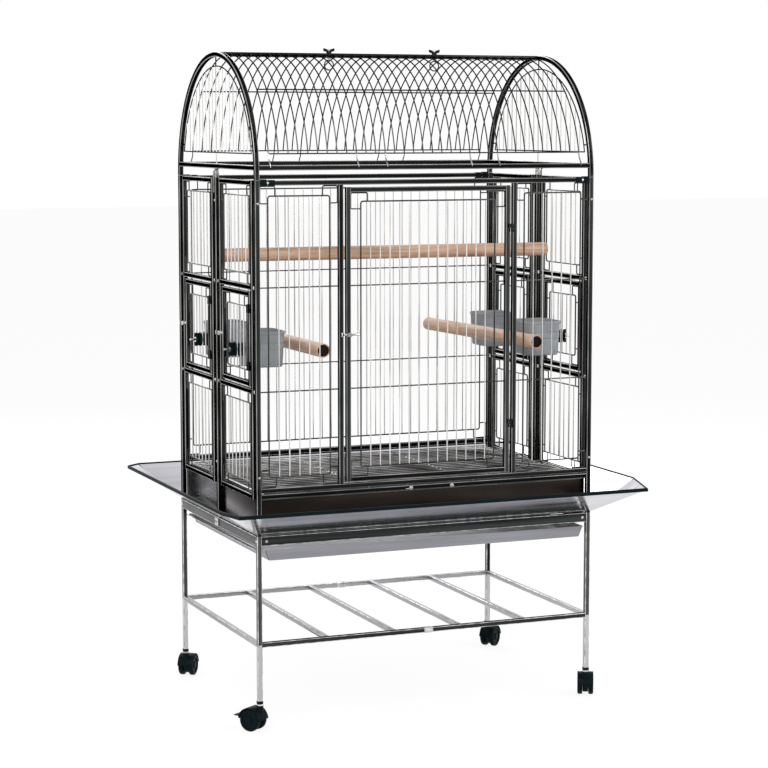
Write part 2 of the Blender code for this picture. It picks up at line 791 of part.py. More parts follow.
def offset_ring(points, distance):
    """A convex ring of plan points, counter-clockwise, moved outward by a distance."""
    moved = []
    count = len(points)
    for k, point in enumerate(points):
        here = Vector(point)
        before = (here - Vector(points[k - 1])).normalized()
        after = (Vector(points[(k + 1) % count]) - here).normalized()
        out_a = Vector((before.y, -before.x))
        out_b = Vector((after.y, -after.x))
        middle = (out_a + out_b).normalized()
        moved.append(tuple(here + middle * (distance / middle.dot(out_a))))
    return moved



def hinge_parts(axis_xy, z, leaf_xs, leaf_ys, moving):
    """One half of a hinge: the fixed half carries the pin, the moving half turns on it."""
    x, y = axis_xy
    low = z + HINGE_HIGH + GAP if moving else z
    middle = low + HINGE_HIGH / 2
    barrel = rod("Z", (x, y, middle), HINGE_R, HINGE_HIGH)
    leaf = box(leaf_xs, leaf_ys, (low, low + HINGE_HIGH))
    half = union(barrel, leaf)
    if moving:
        return cut(half, rod("Z", (x, y, middle), HINGE_PIN_R + GAP, 2 * HINGE_HIGH))
    pin_high = 2 * HINGE_HIGH
    return union(half, rod("Z", (x, y, middle + pin_high / 2), HINGE_PIN_R, pin_high))


def ringed_block(xs, ys, zs, axis, centre):
    """A latch collar or keeper: a block with a hole for the bolt."""
    return cut(box(xs, ys, zs), rod(axis, centre, BOLT_R + BOLT_CLEAR, 5 * CATCH))



def add_front():
    inner_x = POST_X - HALF
    stile_in = STILE_X - HALF
    stile_out = STILE_X + HALF
    low, high = FRONT_BOTTOM_Z + HALF, TOP_RAIL_Z - HALF
    edge = [
        (-SIDE_FACE, POST_FOOT_Z),
        (-inner_x, POST_FOOT_Z),
        (-inner_x, FRONT_BOTTOM_Z - HALF),
        (inner_x, FRONT_BOTTOM_Z - HALF),
        (inner_x, POST_FOOT_Z),
        (SIDE_FACE, POST_FOOT_Z),
        (SIDE_FACE, TOP_RAIL_Z + HALF),
        (-SIDE_FACE, TOP_RAIL_Z + HALF),
    ]
    bays = [(-inner_x, -stile_out), (stile_out, inner_x)]
    holes = [rectangle(a, b, low, high) for a, b in bays]
    holes.append(rectangle(-stile_in, stile_in, low, high))
    panel = outline("XZ", [edge, *holes], -POST_Y, TUBE)
    grids = [grid("XZ", (a, b, low, high), -POST_Y, crossings=CROSSINGS) for a, b in bays]
    ends = [end for bay in bays for end in cross_ends(bay, LOOP_INSET, -POST_Y)]
    hinge_x = (STILE_X + DOOR_STILE_X) / 2
    hinge_y = -FRONT_FACE - HINGE_STANDOFF
    leaf_ys = (hinge_y - HINGE_R / 4, -FRONT_FACE + BITE / 3)
    halves = [
        hinge_parts((hinge_x, hinge_y), z, (hinge_x, STILE_X + BITE / 3), leaf_ys, False)
        for z in DOOR_HINGE_ZS
    ]
    bolt_y = -FRONT_FACE - BOLT_STANDOFF
    keeper_x = -STILE_X - HALF + CATCH / 2
    keeper = ringed_block(
        (keeper_x - CATCH / 2, keeper_x + CATCH / 4),
        (bolt_y - 2 * BOLT_R, -FRONT_FACE + BITE / 3),
        (LATCH_Z - 2 * BOLT_R, LATCH_Z + 2 * BOLT_R),
        "X",
        (keeper_x, bolt_y, LATCH_Z),
    )
    panel = union(panel, side_by_side(grids), side_by_side(ends), side_by_side(halves), keeper)
    made = piece("front_panel", panel, STEEL)
    add_door(made, (hinge_x, hinge_y), bolt_y, keeper_x + CATCH / 4)


def add_door(panel, hinge, bolt_y, keeper_end_x):
    out_x = DOOR_STILE_X + HALF
    in_x = DOOR_STILE_X - HALF
    low, high = DOOR_BOTTOM_Z - HALF, DOOR_TOP_Z + HALF
    opening = (-in_x, in_x, DOOR_BOTTOM_Z + HALF, DOOR_TOP_Z - HALF)
    frame = outline(
        "XZ", [rectangle(-out_x, out_x, low, high), rectangle(*opening)], -POST_Y, TUBE
    )
    net = grid(
        "XZ",
        opening,
        -POST_Y,
        DOOR_LOOP_INSET,
        DOOR_LOOP_INSET_END,
        CROSSINGS,
    )
    ends = cross_ends(opening, DOOR_LOOP_INSET, -POST_Y)
    hinge_x, hinge_y = hinge
    leaf_ys = (hinge_y - HINGE_R / 4, -FRONT_FACE + BITE / 3)
    halves = [
        hinge_parts(hinge, z, (DOOR_STILE_X + BITE / 3, hinge_x), leaf_ys, True)
        for z in DOOR_HINGE_ZS
    ]
    collar = ringed_block(
        (-DOOR_STILE_X - CATCH / 2, -DOOR_STILE_X + CATCH / 2),
        (bolt_y - 2 * BOLT_R, -FRONT_FACE + BITE / 3),
        (LATCH_Z - 2 * BOLT_R, LATCH_Z + 2 * BOLT_R),
        "X",
        (-DOOR_STILE_X, bolt_y, LATCH_Z),
    )
    origin = (hinge_x, hinge_y, DOOR_BOTTOM_Z)
    door = union(frame, net, side_by_side(ends), side_by_side(halves), collar)
    door = piece("door", door, STEEL, origin, panel)
    tip = keeper_end_x + BOLT_TIP_GAP
    tail = tip + DOOR_BOLT_BACK
    bolt = union(
        rod("X", ((tip + tail) / 2, bolt_y, LATCH_Z), BOLT_R, tail - tip),
        rod("Z", (tail - BOLT_R, bolt_y, LATCH_Z + LATCH_KNOB / 2), BOLT_R, LATCH_KNOB),
    )
    piece("door_latch_bolt", bolt, STEEL, (tip, bolt_y, LATCH_Z), door, smooth=True)


def add_back():
    inner_x = POST_X - HALF
    low, high = FRONT_BOTTOM_Z + HALF, TOP_RAIL_Z - HALF
    edge = [
        (-SIDE_FACE, POST_FOOT_Z),
        (-inner_x, POST_FOOT_Z),
        (-inner_x, FRONT_BOTTOM_Z - HALF),
        (inner_x, FRONT_BOTTOM_Z - HALF),
        (inner_x, POST_FOOT_Z),
        (SIDE_FACE, POST_FOOT_Z),
        (SIDE_FACE, TOP_RAIL_Z + HALF),
        (-SIDE_FACE, TOP_RAIL_Z + HALF),
    ]
    opening = (-inner_x, inner_x, low, high)
    panel = outline("XZ", [edge, rectangle(*opening)], POST_Y, TUBE)
    net = grid("XZ", opening, POST_Y, crossings=CROSSINGS)
    ends = cross_ends(opening, LOOP_INSET, POST_Y)
    piece("back_panel", union(panel, net, side_by_side(ends)), STEEL)



def add_sides():
    for side, side_name in ((-1, "left"), (1, "right")):
        post = box(
            (side * POST_X - HALF, side * POST_X + HALF),
            (-HALF, HALF),
            (POST_FOOT_Z, TOP_RAIL_Z + HALF),
        )
        piece(f"centre_post_{side_name}", post, STEEL)
        for end, end_name in ((-1, "front"), (1, "back")):
            add_half_frame(side, side_name, end, end_name)


def add_half_frame(side, side_name, end, end_name):
    near = end * HALF_POST_NEAR
    far = end * HALF_POST_FAR
    outer = sorted((near - end * HALF, far + end * HALF))
    inner = sorted((near + end * HALF, far - end * HALF))
    low = SIDE_BOTTOM_Z
    rails = (low, LOW_RAIL_Z, HIGH_RAIL_Z, TOP_RAIL_Z)
    edge = rectangle(*outer, low - HALF, TOP_RAIL_Z + HALF)
    bays = [(*inner, a + HALF, b - HALF) for a, b in zip(rails, rails[1:])]
    middle = side * POST_X
    frame = outline("YZ", [edge, *[rectangle(*bay) for bay in bays]], middle, TUBE)
    grids = [grid("YZ", bay, middle, SIDE_LOOP_INSET) for bay in (bays[0], bays[2])]
    wide = (middle - HALF, middle + HALF)
    couplings = []
    for z in CROSSINGS:
        zs = (z - COUPLING_HIGH / 2, z + COUPLING_HIGH / 2)
        reach_near = (end * (HALF + GAP), near - end * HALF + end * BITE)
        reach_far = (far + end * HALF - end * BITE, end * (POST_Y - HALF - GAP))
        slim = (middle - HALF / 2, middle + HALF / 2)
        couplings.append(box(slim, reach_near, zs))
        couplings.append(box(slim, reach_far, zs))
    # The feeder door's hinge is on its front edge and its latch on its back edge.
    hinge_post, latch_post = (far, near) if end < 0 else (near, far)
    hinge_y = hinge_post + HALF + FEEDER_GAP / 2
    hinge_x = side * (SIDE_FACE + HINGE_STANDOFF)
    leaf_xs = (hinge_x + side * HINGE_R / 4, side * (SIDE_FACE - BITE / 3))
    halves = [
        hinge_parts((hinge_x, hinge_y), z, leaf_xs, (hinge_post, hinge_y), False)
        for z in FEEDER_HINGE_ZS
    ]
    bolt_x = side * (SIDE_FACE + BOLT_STANDOFF)
    block_xs = (side * (SIDE_FACE - BITE / 3), bolt_x + side * 2 * BOLT_R)
    block_zs = (FEEDER_LATCH_Z - 2 * BOLT_R, FEEDER_LATCH_Z + 2 * BOLT_R)
    keeper = ringed_block(
        block_xs,
        (latch_post - HALF, latch_post + HALF),
        block_zs,
        "Y",
        (bolt_x, latch_post, FEEDER_LATCH_Z),
    )
    frame = union(frame, side_by_side(grids), side_by_side(couplings), side_by_side(halves), keeper)
    half = piece(f"half_frame_{end_name}_{side_name}", frame, STEEL)

    # Feeder door
    y0 = hinge_post + HALF + FEEDER_GAP
    y1 = latch_post - HALF - FEEDER_GAP
    z0 = LOW_RAIL_Z + HALF + FEEDER_RAIL_GAP
    z1 = HIGH_RAIL_Z - HALF - FEEDER_RAIL_GAP
    opening = (y0 + TUBE, y1 - TUBE, z0 + TUBE, z1 - TUBE)
    door = outline("YZ", [rectangle(y0, y1, z0, z1), rectangle(*opening)], middle, TUBE)
    net = grid("YZ", opening, middle, FEEDER_LOOP_INSET)
    door_halves = [
        hinge_parts((hinge_x, hinge_y), z, leaf_xs, (hinge_y, y0 + HALF), True)
        for z in FEEDER_HINGE_ZS
    ]
    stile_y = y1 - HALF
    collar = ringed_block(
        block_xs,
        (stile_y - CATCH / 2, stile_y + CATCH / 2),
        block_zs,
        "Y",
        (bolt_x, stile_y, FEEDER_LATCH_Z),
    )
    name = f"{end_name}_{side_name}"
    door = piece(
        f"feeder_door_{name}",
        union(door, net, side_by_side(door_halves), collar),
        STEEL,
        (hinge_x, hinge_y, z0),
        half,
    )
    tip = latch_post - HALF - BOLT_TIP_GAP
    tail = tip - FEEDER_BOLT_BACK
    bolt = union(
        rod("Y", (bolt_x, (tip + tail) / 2, FEEDER_LATCH_Z), BOLT_R, tip - tail, 12),
        rod(
            "X",
            (bolt_x + side * LATCH_KNOB / 2, tail + BOLT_R, FEEDER_LATCH_Z),
            BOLT_R,
            LATCH_KNOB,
        ),
    )
    origin = (bolt_x, tip, FEEDER_LATCH_Z)
    piece(f"feeder_latch_{name}", bolt, STEEL, origin, door, smooth=True)
    add_cup(side, end, name, door, opening)


def clamp_place(opening, end):
    """The gap between two upright wires that is nearest the cup's middle."""
    uprights = spaced(opening[0] + FEEDER_LOOP_INSET, opening[1] - FEEDER_LOOP_INSET, PITCH)
    middles = [(a + b) / 2 for a, b in zip(uprights, uprights[1:])]
    return min(middles, key=lambda y: abs(y - end * CUP_CENTRE_Y))


def add_cup(side, end, name, door, opening):
    y = clamp_place(opening, end)
    clamp_top = CLAMP_BOTTOM_Z + CLAMP_HIGH
    back = CLAMP_BACK_X
    slot_out = back - CLAMP_WALL
    slot_in = slot_out - TONGUE_THICK - 2 * GAP
    lip_in = slot_in - CLAMP_WALL
    body = box(
        (side * lip_in, side * back), (y - CLAMP_WIDE / 2, y + CLAMP_WIDE / 2),
        (CLAMP_BOTTOM_Z, clamp_top),
    )
    slot = box(
        (side * slot_in, side * slot_out),
        (y - TONGUE_WIDE / 2 - GAP, y + TONGUE_WIDE / 2 + GAP),
        (CLAMP_BOTTOM_Z + CLAMP_WALL, clamp_top + CLAMP_WALL),
    )
    bolt_z = CLAMP_BOTTOM_Z + CLAMP_HIGH / 2
    knob_in = POST_X + THIN + GAP
    knob_out = knob_in + CLAMP_KNOB_THICK
    bolt_in = back - CLAMP_WALL / 2
    bolt_mid = (bolt_in + CLAMP_BOLT_END_X) / 2
    knob = rod(
        "X", (side * (knob_in + knob_out) / 2, y, bolt_z), CLAMP_KNOB_R, CLAMP_KNOB_THICK, 12
    )
    stud = rod("X", (side * bolt_mid, y, bolt_z), CLAMP_BOLT_R, CLAMP_BOLT_END_X - bolt_in)
    wings = [
        box(
            (side * (knob_out - CLAMP_KNOB_THICK / 2), side * (knob_in + CLAMP_WING_LONG)),
            (y - CLAMP_WING_WIDE / 2, y + CLAMP_WING_WIDE / 2),
            (bolt_z + way * CLAMP_WING_IN_R, bolt_z + way * (CLAMP_KNOB_R - CLAMP_WALL)),
        )
        for way in (-1, 1)
    ]
    clamp = union(cut(body, slot), stud, knob, *wings)
    clamp = piece(f"cup_clamp_{name}", clamp, BLACK_PLASTIC, (side * back, y, bolt_z), door)

    cup_y = end * CUP_CENTRE_Y
    outer = rounded_block(side, cup_y, 0, (CUP_BOTTOM_Z, CUP_TOP_Z))
    hollow = rounded_block(side, cup_y, CUP_WALL, (CUP_BOTTOM_Z + CUP_WALL, CUP_TOP_Z + CUP_WALL))
    tongue_low = CLAMP_BOTTOM_Z + CLAMP_WALL + GAP
    tongue_high = tongue_low + TONGUE_HIGH
    tongue_out = slot_out - GAP
    tongue = box(
        (side * (tongue_out - TONGUE_THICK), side * tongue_out),
        (y - TONGUE_WIDE / 2, y + TONGUE_WIDE / 2),
        (tongue_low, tongue_high),
    )
    bridge = box(
        (side * (CUP_BACK_X - CUP_WALL / 2), side * (tongue_out - TONGUE_THICK / 4)),
        (y - TONGUE_WIDE / 2, y + TONGUE_WIDE / 2),
        (clamp_top + GAP, clamp_top + GAP + CUP_WALL),
    )
    cup = union(cut(outer, hollow), tongue, bridge)
    origin = (side * CUP_BACK_X, cup_y, CUP_BOTTOM_Z)
    piece(f"feeder_cup_{name}", cup, CUP_PLASTIC, origin, clamp, smooth=True)


def rounded_block(side, y, inset, zs):
    x0, x1 = sorted((side * (CUP_BACK_X - CUP_DEEP), side * CUP_BACK_X))
    x0, x1 = x0 + inset, x1 - inset
    y0, y1 = y - CUP_WIDE / 2 + inset, y + CUP_WIDE / 2 - inset
    radius = CUP_CORNER - inset
    quarter = math.pi / 2
    edge = []
    for k, (cx, cy) in enumerate(
        (
            (x1 - radius, y1 - radius),
            (x0 + radius, y1 - radius),
            (x0 + radius, y0 + radius),
            (x1 - radius, y0 + radius),
        )
    ):
        edge += arc(radius, k * quarter, (k + 1) * quarter, 3, (cx, cy))
    return outline("XY", [edge], sum(zs) / 2, zs[1] - zs[0])



def height_at(radius, y):
    return DOME_CENTRE_Z + math.sqrt(max(radius**2 - y**2, 0))


def reach_at(radius, z):
    return math.sqrt(radius**2 - (z - DOME_CENTRE_Z) ** 2)


def dome_end_loops():
    outer, inner = DOME_R + HALF, DOME_R - HALF
    arch = arc(outer, 0, math.pi, DOME_SEGMENTS, (0, DOME_CENTRE_Z))
    edge = [(outer, DOME_FOOT_Z), *arch, (-outer, DOME_FOOT_Z), (-inner, DOME_FOOT_Z)]
    edge += [(-inner, DOME_RAIL_Z - HALF), (inner, DOME_RAIL_Z - HALF), (inner, DOME_FOOT_Z)]
    start = math.asin((DOME_RAIL_Z + HALF - DOME_CENTRE_Z) / inner)
    hole = arc(inner, start, math.pi - start, DOME_SEGMENTS, (0, DOME_CENTRE_Z))
    return [edge, hole]


def end_grille_loops():
    """A D-shaped wire loop with ties into the arch and the rail, and its upright wires."""
    out_r, in_r = END_LOOP_R + THIN, END_LOOP_R - THIN
    frame_in = DOME_R - HALF
    low = END_LOOP_Z - THIN
    rail = DOME_RAIL_Z + HALF - BITE
    reach = reach_at(out_r, low)
    tie_z = END_LOOP_Z + TIE_INSET
    edge = [(-reach, low), (-THIN, low), (-THIN, rail), (THIN, rail), (THIN, low), (reach, low)]
    right = [(reach_at(out_r, tie_z - THIN), tie_z - THIN)]
    right.append((reach_at(frame_in, tie_z) + BITE, tie_z - THIN))
    right.append((reach_at(frame_in, tie_z) + BITE, tie_z + THIN))
    right.append((reach_at(out_r, tie_z + THIN), tie_z + THIN))
    start = math.asin((tie_z + THIN - DOME_CENTRE_Z) / out_r)
    stop = math.acos(THIN / out_r)
    quarter = arc(out_r, start, stop, DOME_SEGMENTS // 2, (0, DOME_CENTRE_Z))
    half = right + quarter[1:] + [(THIN, DOME_CENTRE_Z + frame_in + BITE)]
    edge += half + [(-y, z) for y, z in reversed(half)]
    sill = END_LOOP_Z + THIN
    side_y = reach_at(in_r, sill)
    uprights = spaced(-side_y - THIN, side_y + THIN, PITCH)
    gaps = []
    for ya, yb in zip(uprights, uprights[1:]):
        a, b = max(ya + THIN, -side_y), min(yb - THIN, side_y)
        steps = 3 if abs(a + b) > 1.6 * side_y else 1
        top = [b + (a - b) * k / steps for k in range(steps + 1)]
        points = [(a, sill), (b, sill)]
        points += [(y, height_at(in_r, y)) for y in top if height_at(in_r, y) > sill + 1e-5]
        gaps.append(points)
    return [edge, *gaps]


def add_dome():
    for side, name in ((-1, "dome_end_left"), (1, "dome_end_right")):
        middle = side * POST_X
        frame = outline("YZ", dome_end_loops(), middle, TUBE)
        net = outline("YZ", end_grille_loops(), middle, WIRE)
        clip = box(
            (middle - HALF / 2, middle + HALF / 2),
            (-DOME_CLIP / 2, DOME_CLIP / 2),
            (TOP_RAIL_Z + HALF + GAP, DOME_RAIL_Z - HALF + BITE),
        )
        piece(name, union(frame, net, clip), STEEL)

    end_x = POST_X - HALF - GAP
    rails = [
        box(
            (-end_x, end_x),
            (end * DOME_R - HALF, end * DOME_R + HALF),
            (DOME_RAIL_Z - HALF, DOME_RAIL_Z + HALF),
        )
        for end in (-1, 1)
    ]
    ridge_z = DOME_CENTRE_Z + DOME_R
    ridge = box(
        (-end_x, end_x),
        (-RIDGE_WIDE / 2, RIDGE_WIDE / 2),
        (ridge_z - RIDGE_HIGH / 2, ridge_z + RIDGE_HIGH / 2),
    )
    bolt_holes = [
        rod("Z", (side * HOOK_X, 0, ridge_z), HOOK_R + GAP, 2 * RIDGE_HIGH) for side in (-1, 1)
    ]
    ridge = cut(ridge, side_by_side(bolt_holes))
    wire_xs = [(k - (SCREEN_WIRES - 1) / 2) * SCREEN_PITCH for k in range(SCREEN_WIRES)]
    tied_start = math.asin((DOME_RAIL_Z - DOME_CENTRE_Z) / DOME_R)
    low_start = math.asin((END_LOOP_Z - DOME_CENTRE_Z) / DOME_R)
    long_wires = []
    for angle in (low_start, LONG_WIRE_ANGLE, math.pi - LONG_WIRE_ANGLE, math.pi - low_start):
        y = DOME_R * math.cos(angle)
        z = DOME_CENTRE_Z + DOME_R * math.sin(angle)
        long_wires.append(
            box(
                (wire_xs[0] - SLIM, wire_xs[-1] + SLIM),
                (y - SLIM, y + SLIM),
                (z - SLIM, z + SLIM),
            )
        )
    wires = []
    for k, x in enumerate(wire_xs):
        start = tied_start if k in SCREEN_TIES else low_start
        centre = (0, DOME_CENTRE_Z)
        edge = arc(DOME_R + THIN, start, math.pi - start, SCREEN_SEGMENTS, centre)
        edge += arc(DOME_R - THIN, math.pi - start, start, SCREEN_SEGMENTS, centre)
        wires.append(outline("YZ", [edge], x, WIRE))
    screen = union(side_by_side([*rails, ridge, *long_wires]), side_by_side(wires))
    piece("dome_screen", screen, WIRE_STEEL)
    for side, name in ((-1, "left"), (1, "right")):
        add_hook(side * HOOK_X, name, ridge_z)


def add_hook(x, name, ridge_z):
    """An eye bolt up through the ridge bar, held by a wing nut."""
    top = ridge_z + RIDGE_HIGH / 2
    low = ridge_z - RIDGE_HIGH / 2
    flange_z = low - GAP - HOOK_FLANGE_THICK / 2
    flange = rod("Z", (x, 0, flange_z), HOOK_FLANGE_R, HOOK_FLANGE_THICK)
    shank_low = low - HOOK_SHANK_LOW
    shank_high = top + NUT_HIGH + HOOK_SHANK_HIGH
    shank = rod("Z", (x, 0, (shank_low + shank_high) / 2), HOOK_R, shank_high - shank_low)
    ring = wire_ring((x, 0, shank_low - HOOK_RING_R + THIN / 3), HOOK_RING_R)
    hook = piece(f"toy_hook_{name}", union(shank, flange, ring), STEEL, (x, 0, ridge_z))
    nut_low = top + GAP
    wing_tip = nut_low + NUT_HIGH + NUT_WING_RISE
    wing_top = wing_tip + NUT_R / 3
    core = rod("Z", (x, 0, nut_low + NUT_HIGH / 2), NUT_R, NUT_HIGH)
    wing = outline(
        "XZ",
        [
            [
                (x - NUT_R / 2, nut_low + NUT_WING_FOOT),
                (x + NUT_R / 2, nut_low + NUT_WING_FOOT),
                (x + NUT_R + NUT_WING, wing_tip),
                (x + NUT_R + NUT_WING / 2, wing_top),
                (x, nut_low + NUT_HIGH / 2),
                (x - NUT_R - NUT_WING / 2, wing_top),
                (x - NUT_R - NUT_WING, wing_tip),
            ]
        ],
        0,
        WIRE,
    )
    bore = rod("Z", (x, 0, nut_low + NUT_HIGH / 2), HOOK_R + GAP, 4 * NUT_HIGH)
    nut = cut(union(core, wing), bore)
    piece(f"wing_nut_{name}", nut, STEEL, (x, 0, nut_low), hook)



def add_perches():
    left_x = -POST_X + HALF + PERCH_END_GAP  # on the posts
    right_x = POST_X - THIN - PERCH_END_GAP  # on the net's wires
    long_x = (left_x + right_x) / 2
    long_half = (right_x - long_x - PERCH_R * math.sin(abs(LONG_PERCH_SKEW))) / math.cos(LONG_PERCH_SKEW)
    long_perch = rod("X", (0, 0, 0), PERCH_R, 2 * long_half, 16)
    long_perch.data.transform(
        Matrix.Translation((long_x, LONG_PERCH_Y, PERCH_Z)) @ Matrix.Rotation(LONG_PERCH_SKEW, 4, "Z")
    )
    piece("perch_long", long_perch, WOOD, (long_x, LONG_PERCH_Y, PERCH_Z), smooth=True)
    reach = POST_Y - THIN - PERCH_END_GAP
    for x, skew, name in (
        (SHORT_PERCH_LEFT_X, 0.0, "perch_left"),
        (SHORT_PERCH_RIGHT_X, SHORT_PERCH_SKEW, "perch_right"),
    ):
        half = (reach - PERCH_R * math.sin(skew)) / math.cos(skew)
        perch = rod("Y", (0, 0, 0), PERCH_R, 2 * half, 16)
        perch.data.transform(
            Matrix.Translation((x, 0, SHORT_PERCH_Z)) @ Matrix.Rotation(skew, 4, "Z")
        )
        piece(name, perch, WOOD, (x, 0, SHORT_PERCH_Z), smooth=True)


def main():
    clear_scene()
    collection_named("bird_cage")
    add_stand()
    add_shelf()
    add_casters()
    add_tray()
    add_grate()
    add_apron()
    add_guard()
    add_front()
    add_back()
    add_sides()
    add_dome()
    add_perches()
    for obj in bpy.data.collections["bird_cage"].objects:
        if obj.parent is None:
            obj.location.y += PLAN_SHIFT
    bpy.context.view_layer.update()


if __name__ == "__main__":
    main()
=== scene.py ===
import math

import bmesh
import bpy
from bpy.props import FloatProperty, FloatVectorProperty, IntProperty, PointerProperty
from mathutils import Matrix, Vector


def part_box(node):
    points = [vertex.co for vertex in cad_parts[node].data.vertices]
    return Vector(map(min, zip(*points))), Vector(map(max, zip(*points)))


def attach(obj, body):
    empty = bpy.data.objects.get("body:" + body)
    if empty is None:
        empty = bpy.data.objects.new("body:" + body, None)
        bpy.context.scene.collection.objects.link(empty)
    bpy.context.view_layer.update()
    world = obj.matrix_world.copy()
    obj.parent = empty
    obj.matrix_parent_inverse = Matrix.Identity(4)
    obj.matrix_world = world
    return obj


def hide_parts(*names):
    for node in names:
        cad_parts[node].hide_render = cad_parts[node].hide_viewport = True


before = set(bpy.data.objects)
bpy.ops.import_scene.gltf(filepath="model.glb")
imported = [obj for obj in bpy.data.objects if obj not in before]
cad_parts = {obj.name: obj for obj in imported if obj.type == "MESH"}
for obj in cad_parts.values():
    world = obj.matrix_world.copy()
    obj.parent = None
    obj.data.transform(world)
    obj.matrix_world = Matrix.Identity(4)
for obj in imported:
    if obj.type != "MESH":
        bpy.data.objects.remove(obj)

bl_info = {
    "name": "Dome-top bird cage",
    "version": (1, 0, 0),
    "blender": (4, 5, 0),
    "location": "3D View > Sidebar > Cage",
    "description": "Builds a wire bird cage on a wheeled stand, piece by piece, on its packed solids",
    "category": "Object",
}

SIDES = ((-1, "left"), (1, "right"))
ENDS = ((-1, "front"), (1, "back"))
UP = Vector((0, 0, 1))


def middle(node):
    """The centre of a node's box."""
    low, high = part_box(node)
    return (low + high) / 2


# Places that the pieces share, read from the solids
MID_Y = middle("centre_post_left").y
POST_X = middle("centre_post_right").x
FRONT_Y = middle("stand_rail_front").y
BACK_Y = middle("stand_rail_back").y
POST_FOOT_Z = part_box("centre_post_left")[0].z
BODY_TOP_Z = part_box("centre_post_left")[1].z
LEG_FOOT_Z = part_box("stand_side_left")[0].z
STAND_TOP_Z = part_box("stand_side_left")[1].z
STAND_RAIL_LOW_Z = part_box("stand_rail_front")[0].z
SHELF_Z = middle("storage_shelf").z
END_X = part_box("stand_rail_front")[1].x

# Places that the pieces share and no single solid gives, in metres
PANEL_RAIL_Z = 0.531  # low rail of the front and back panels
SIDE_RAIL_Z = 0.515  # low rail of the half frames
RAIL_Z = 1.226  # the dome's straight rails
DOME_Z = 1.206  # centre of the arches
DOME_R = 0.267  # radius to the middle of an arch's tube
LOOP_R = 0.241  # radius of the wire arc inside an arch
LOOP_Z = 1.256  # straight wire under that arc
RIDGE_WIDE = 0.016  # the dome's ridge bar
RIDGE_HIGH = 0.010
STILE_X = 0.2085  # stiles beside the door
DOOR_STILE_X = 0.1915  # the door's own stiles and rails
DOOR_LOW_Z = 0.545
DOOR_TOP_Z = 1.178
SCREW_HEIGHTS = (0.560, 1.150)  # screws on the corner and centre posts

# Nets
CROSS_OUT = 0.0022  # how far cross wires lie from the uprights

# Hinges
HINGE_X = 0.2  # the door's axis
HINGE_OUT = 0.004  # from a tube's face to the axis
HINGE_ASIDE = 0.0025  # from a feeder window's post to the axis
HINGE_LEAF_SUNK = 0.0005
HINGE_R = 0.004  # radius of the barrel
HINGE_HIGH = 0.009  # one half's height
HINGE_GAP = 0.0003  # between the halves
DOOR_HINGES = (0.640, 1.080)
FEEDER_HINGES = (0.790, 0.915)

# Seed guard
EDGING = 0.0033  # width of its edging

# Casters
HOOD_GAP = 0.0012  # from the wheels' treads to the hood
HOOD_THICK = 0.0025

# Latches
BOLT_OUT = 0.0045  # from a tube's face to the bolt's axis
BOLT_R = 0.0024
DOOR_BOLT_Z = 0.864
FEEDER_BOLT_Z = 0.856
KEEPER_X = -0.2105  # on the stile beside the door
KEEPER_HALF = 0.0043  # half of the keeper's height
KEEPER_REACH = 0.0042  # from the bolt's axis to the keeper's outer wire
KEEPER_WIRE_R = 0.0012
COLLAR_HALF = 0.0046  # from the bolt's axis to the collar's faces

# Screw heads, as radius and height
LARGE_SCREW = (0.0035, 0.0022)
RAIL_SCREW = (0.0035, 0.0020)
SHELF_SCREW = (0.0030, 0.0018)
COUPLING_SCREW = (0.0028, 0.0016)
BRACKET_SCREW = (0.0026, 0.0016)
SMALL_SCREW = (0.0026, 0.0014)


class CageSizes(bpy.types.PropertyGroup):
    """Stock sizes and spacings of the cage."""

    tube: FloatProperty(
        name="Tube", description="Side of the square tube", default=0.011, unit="LENGTH"
    )
    tube_corner: FloatProperty(
        name="Tube corner", description="Corner radius of the tube", default=0.0017, unit="LENGTH"
    )
    wire: FloatProperty(
        name="Wire", description="Diameter of the wires", default=0.003, unit="LENGTH"
    )
    pitch: FloatProperty(
        name="Bar spacing", description="Spacing of the upright wires", default=0.0237, unit="LENGTH"
    )
    bend: FloatProperty(
        name="Bend", description="Radius of a wire's bends", default=0.005, unit="LENGTH"
    )
    ear: FloatProperty(
        name="Ear", description="From a loop's corner to its corner wire", default=0.016, unit="LENGTH"
    )
    sheet: FloatProperty(
        name="Sheet", description="Thickness of the sheet steel", default=0.0015, unit="LENGTH"
    )
    low_wire: FloatProperty(
        name="Low cross wire", description="Height of the low cross wire", default=0.745, unit="LENGTH"
    )
    high_wire: FloatProperty(
        name="High cross wire", description="Height of the high cross wire", default=0.970, unit="LENGTH"
    )
    sides: IntProperty(name="Wire sides", description="Sides of a round wire", default=8, min=6)


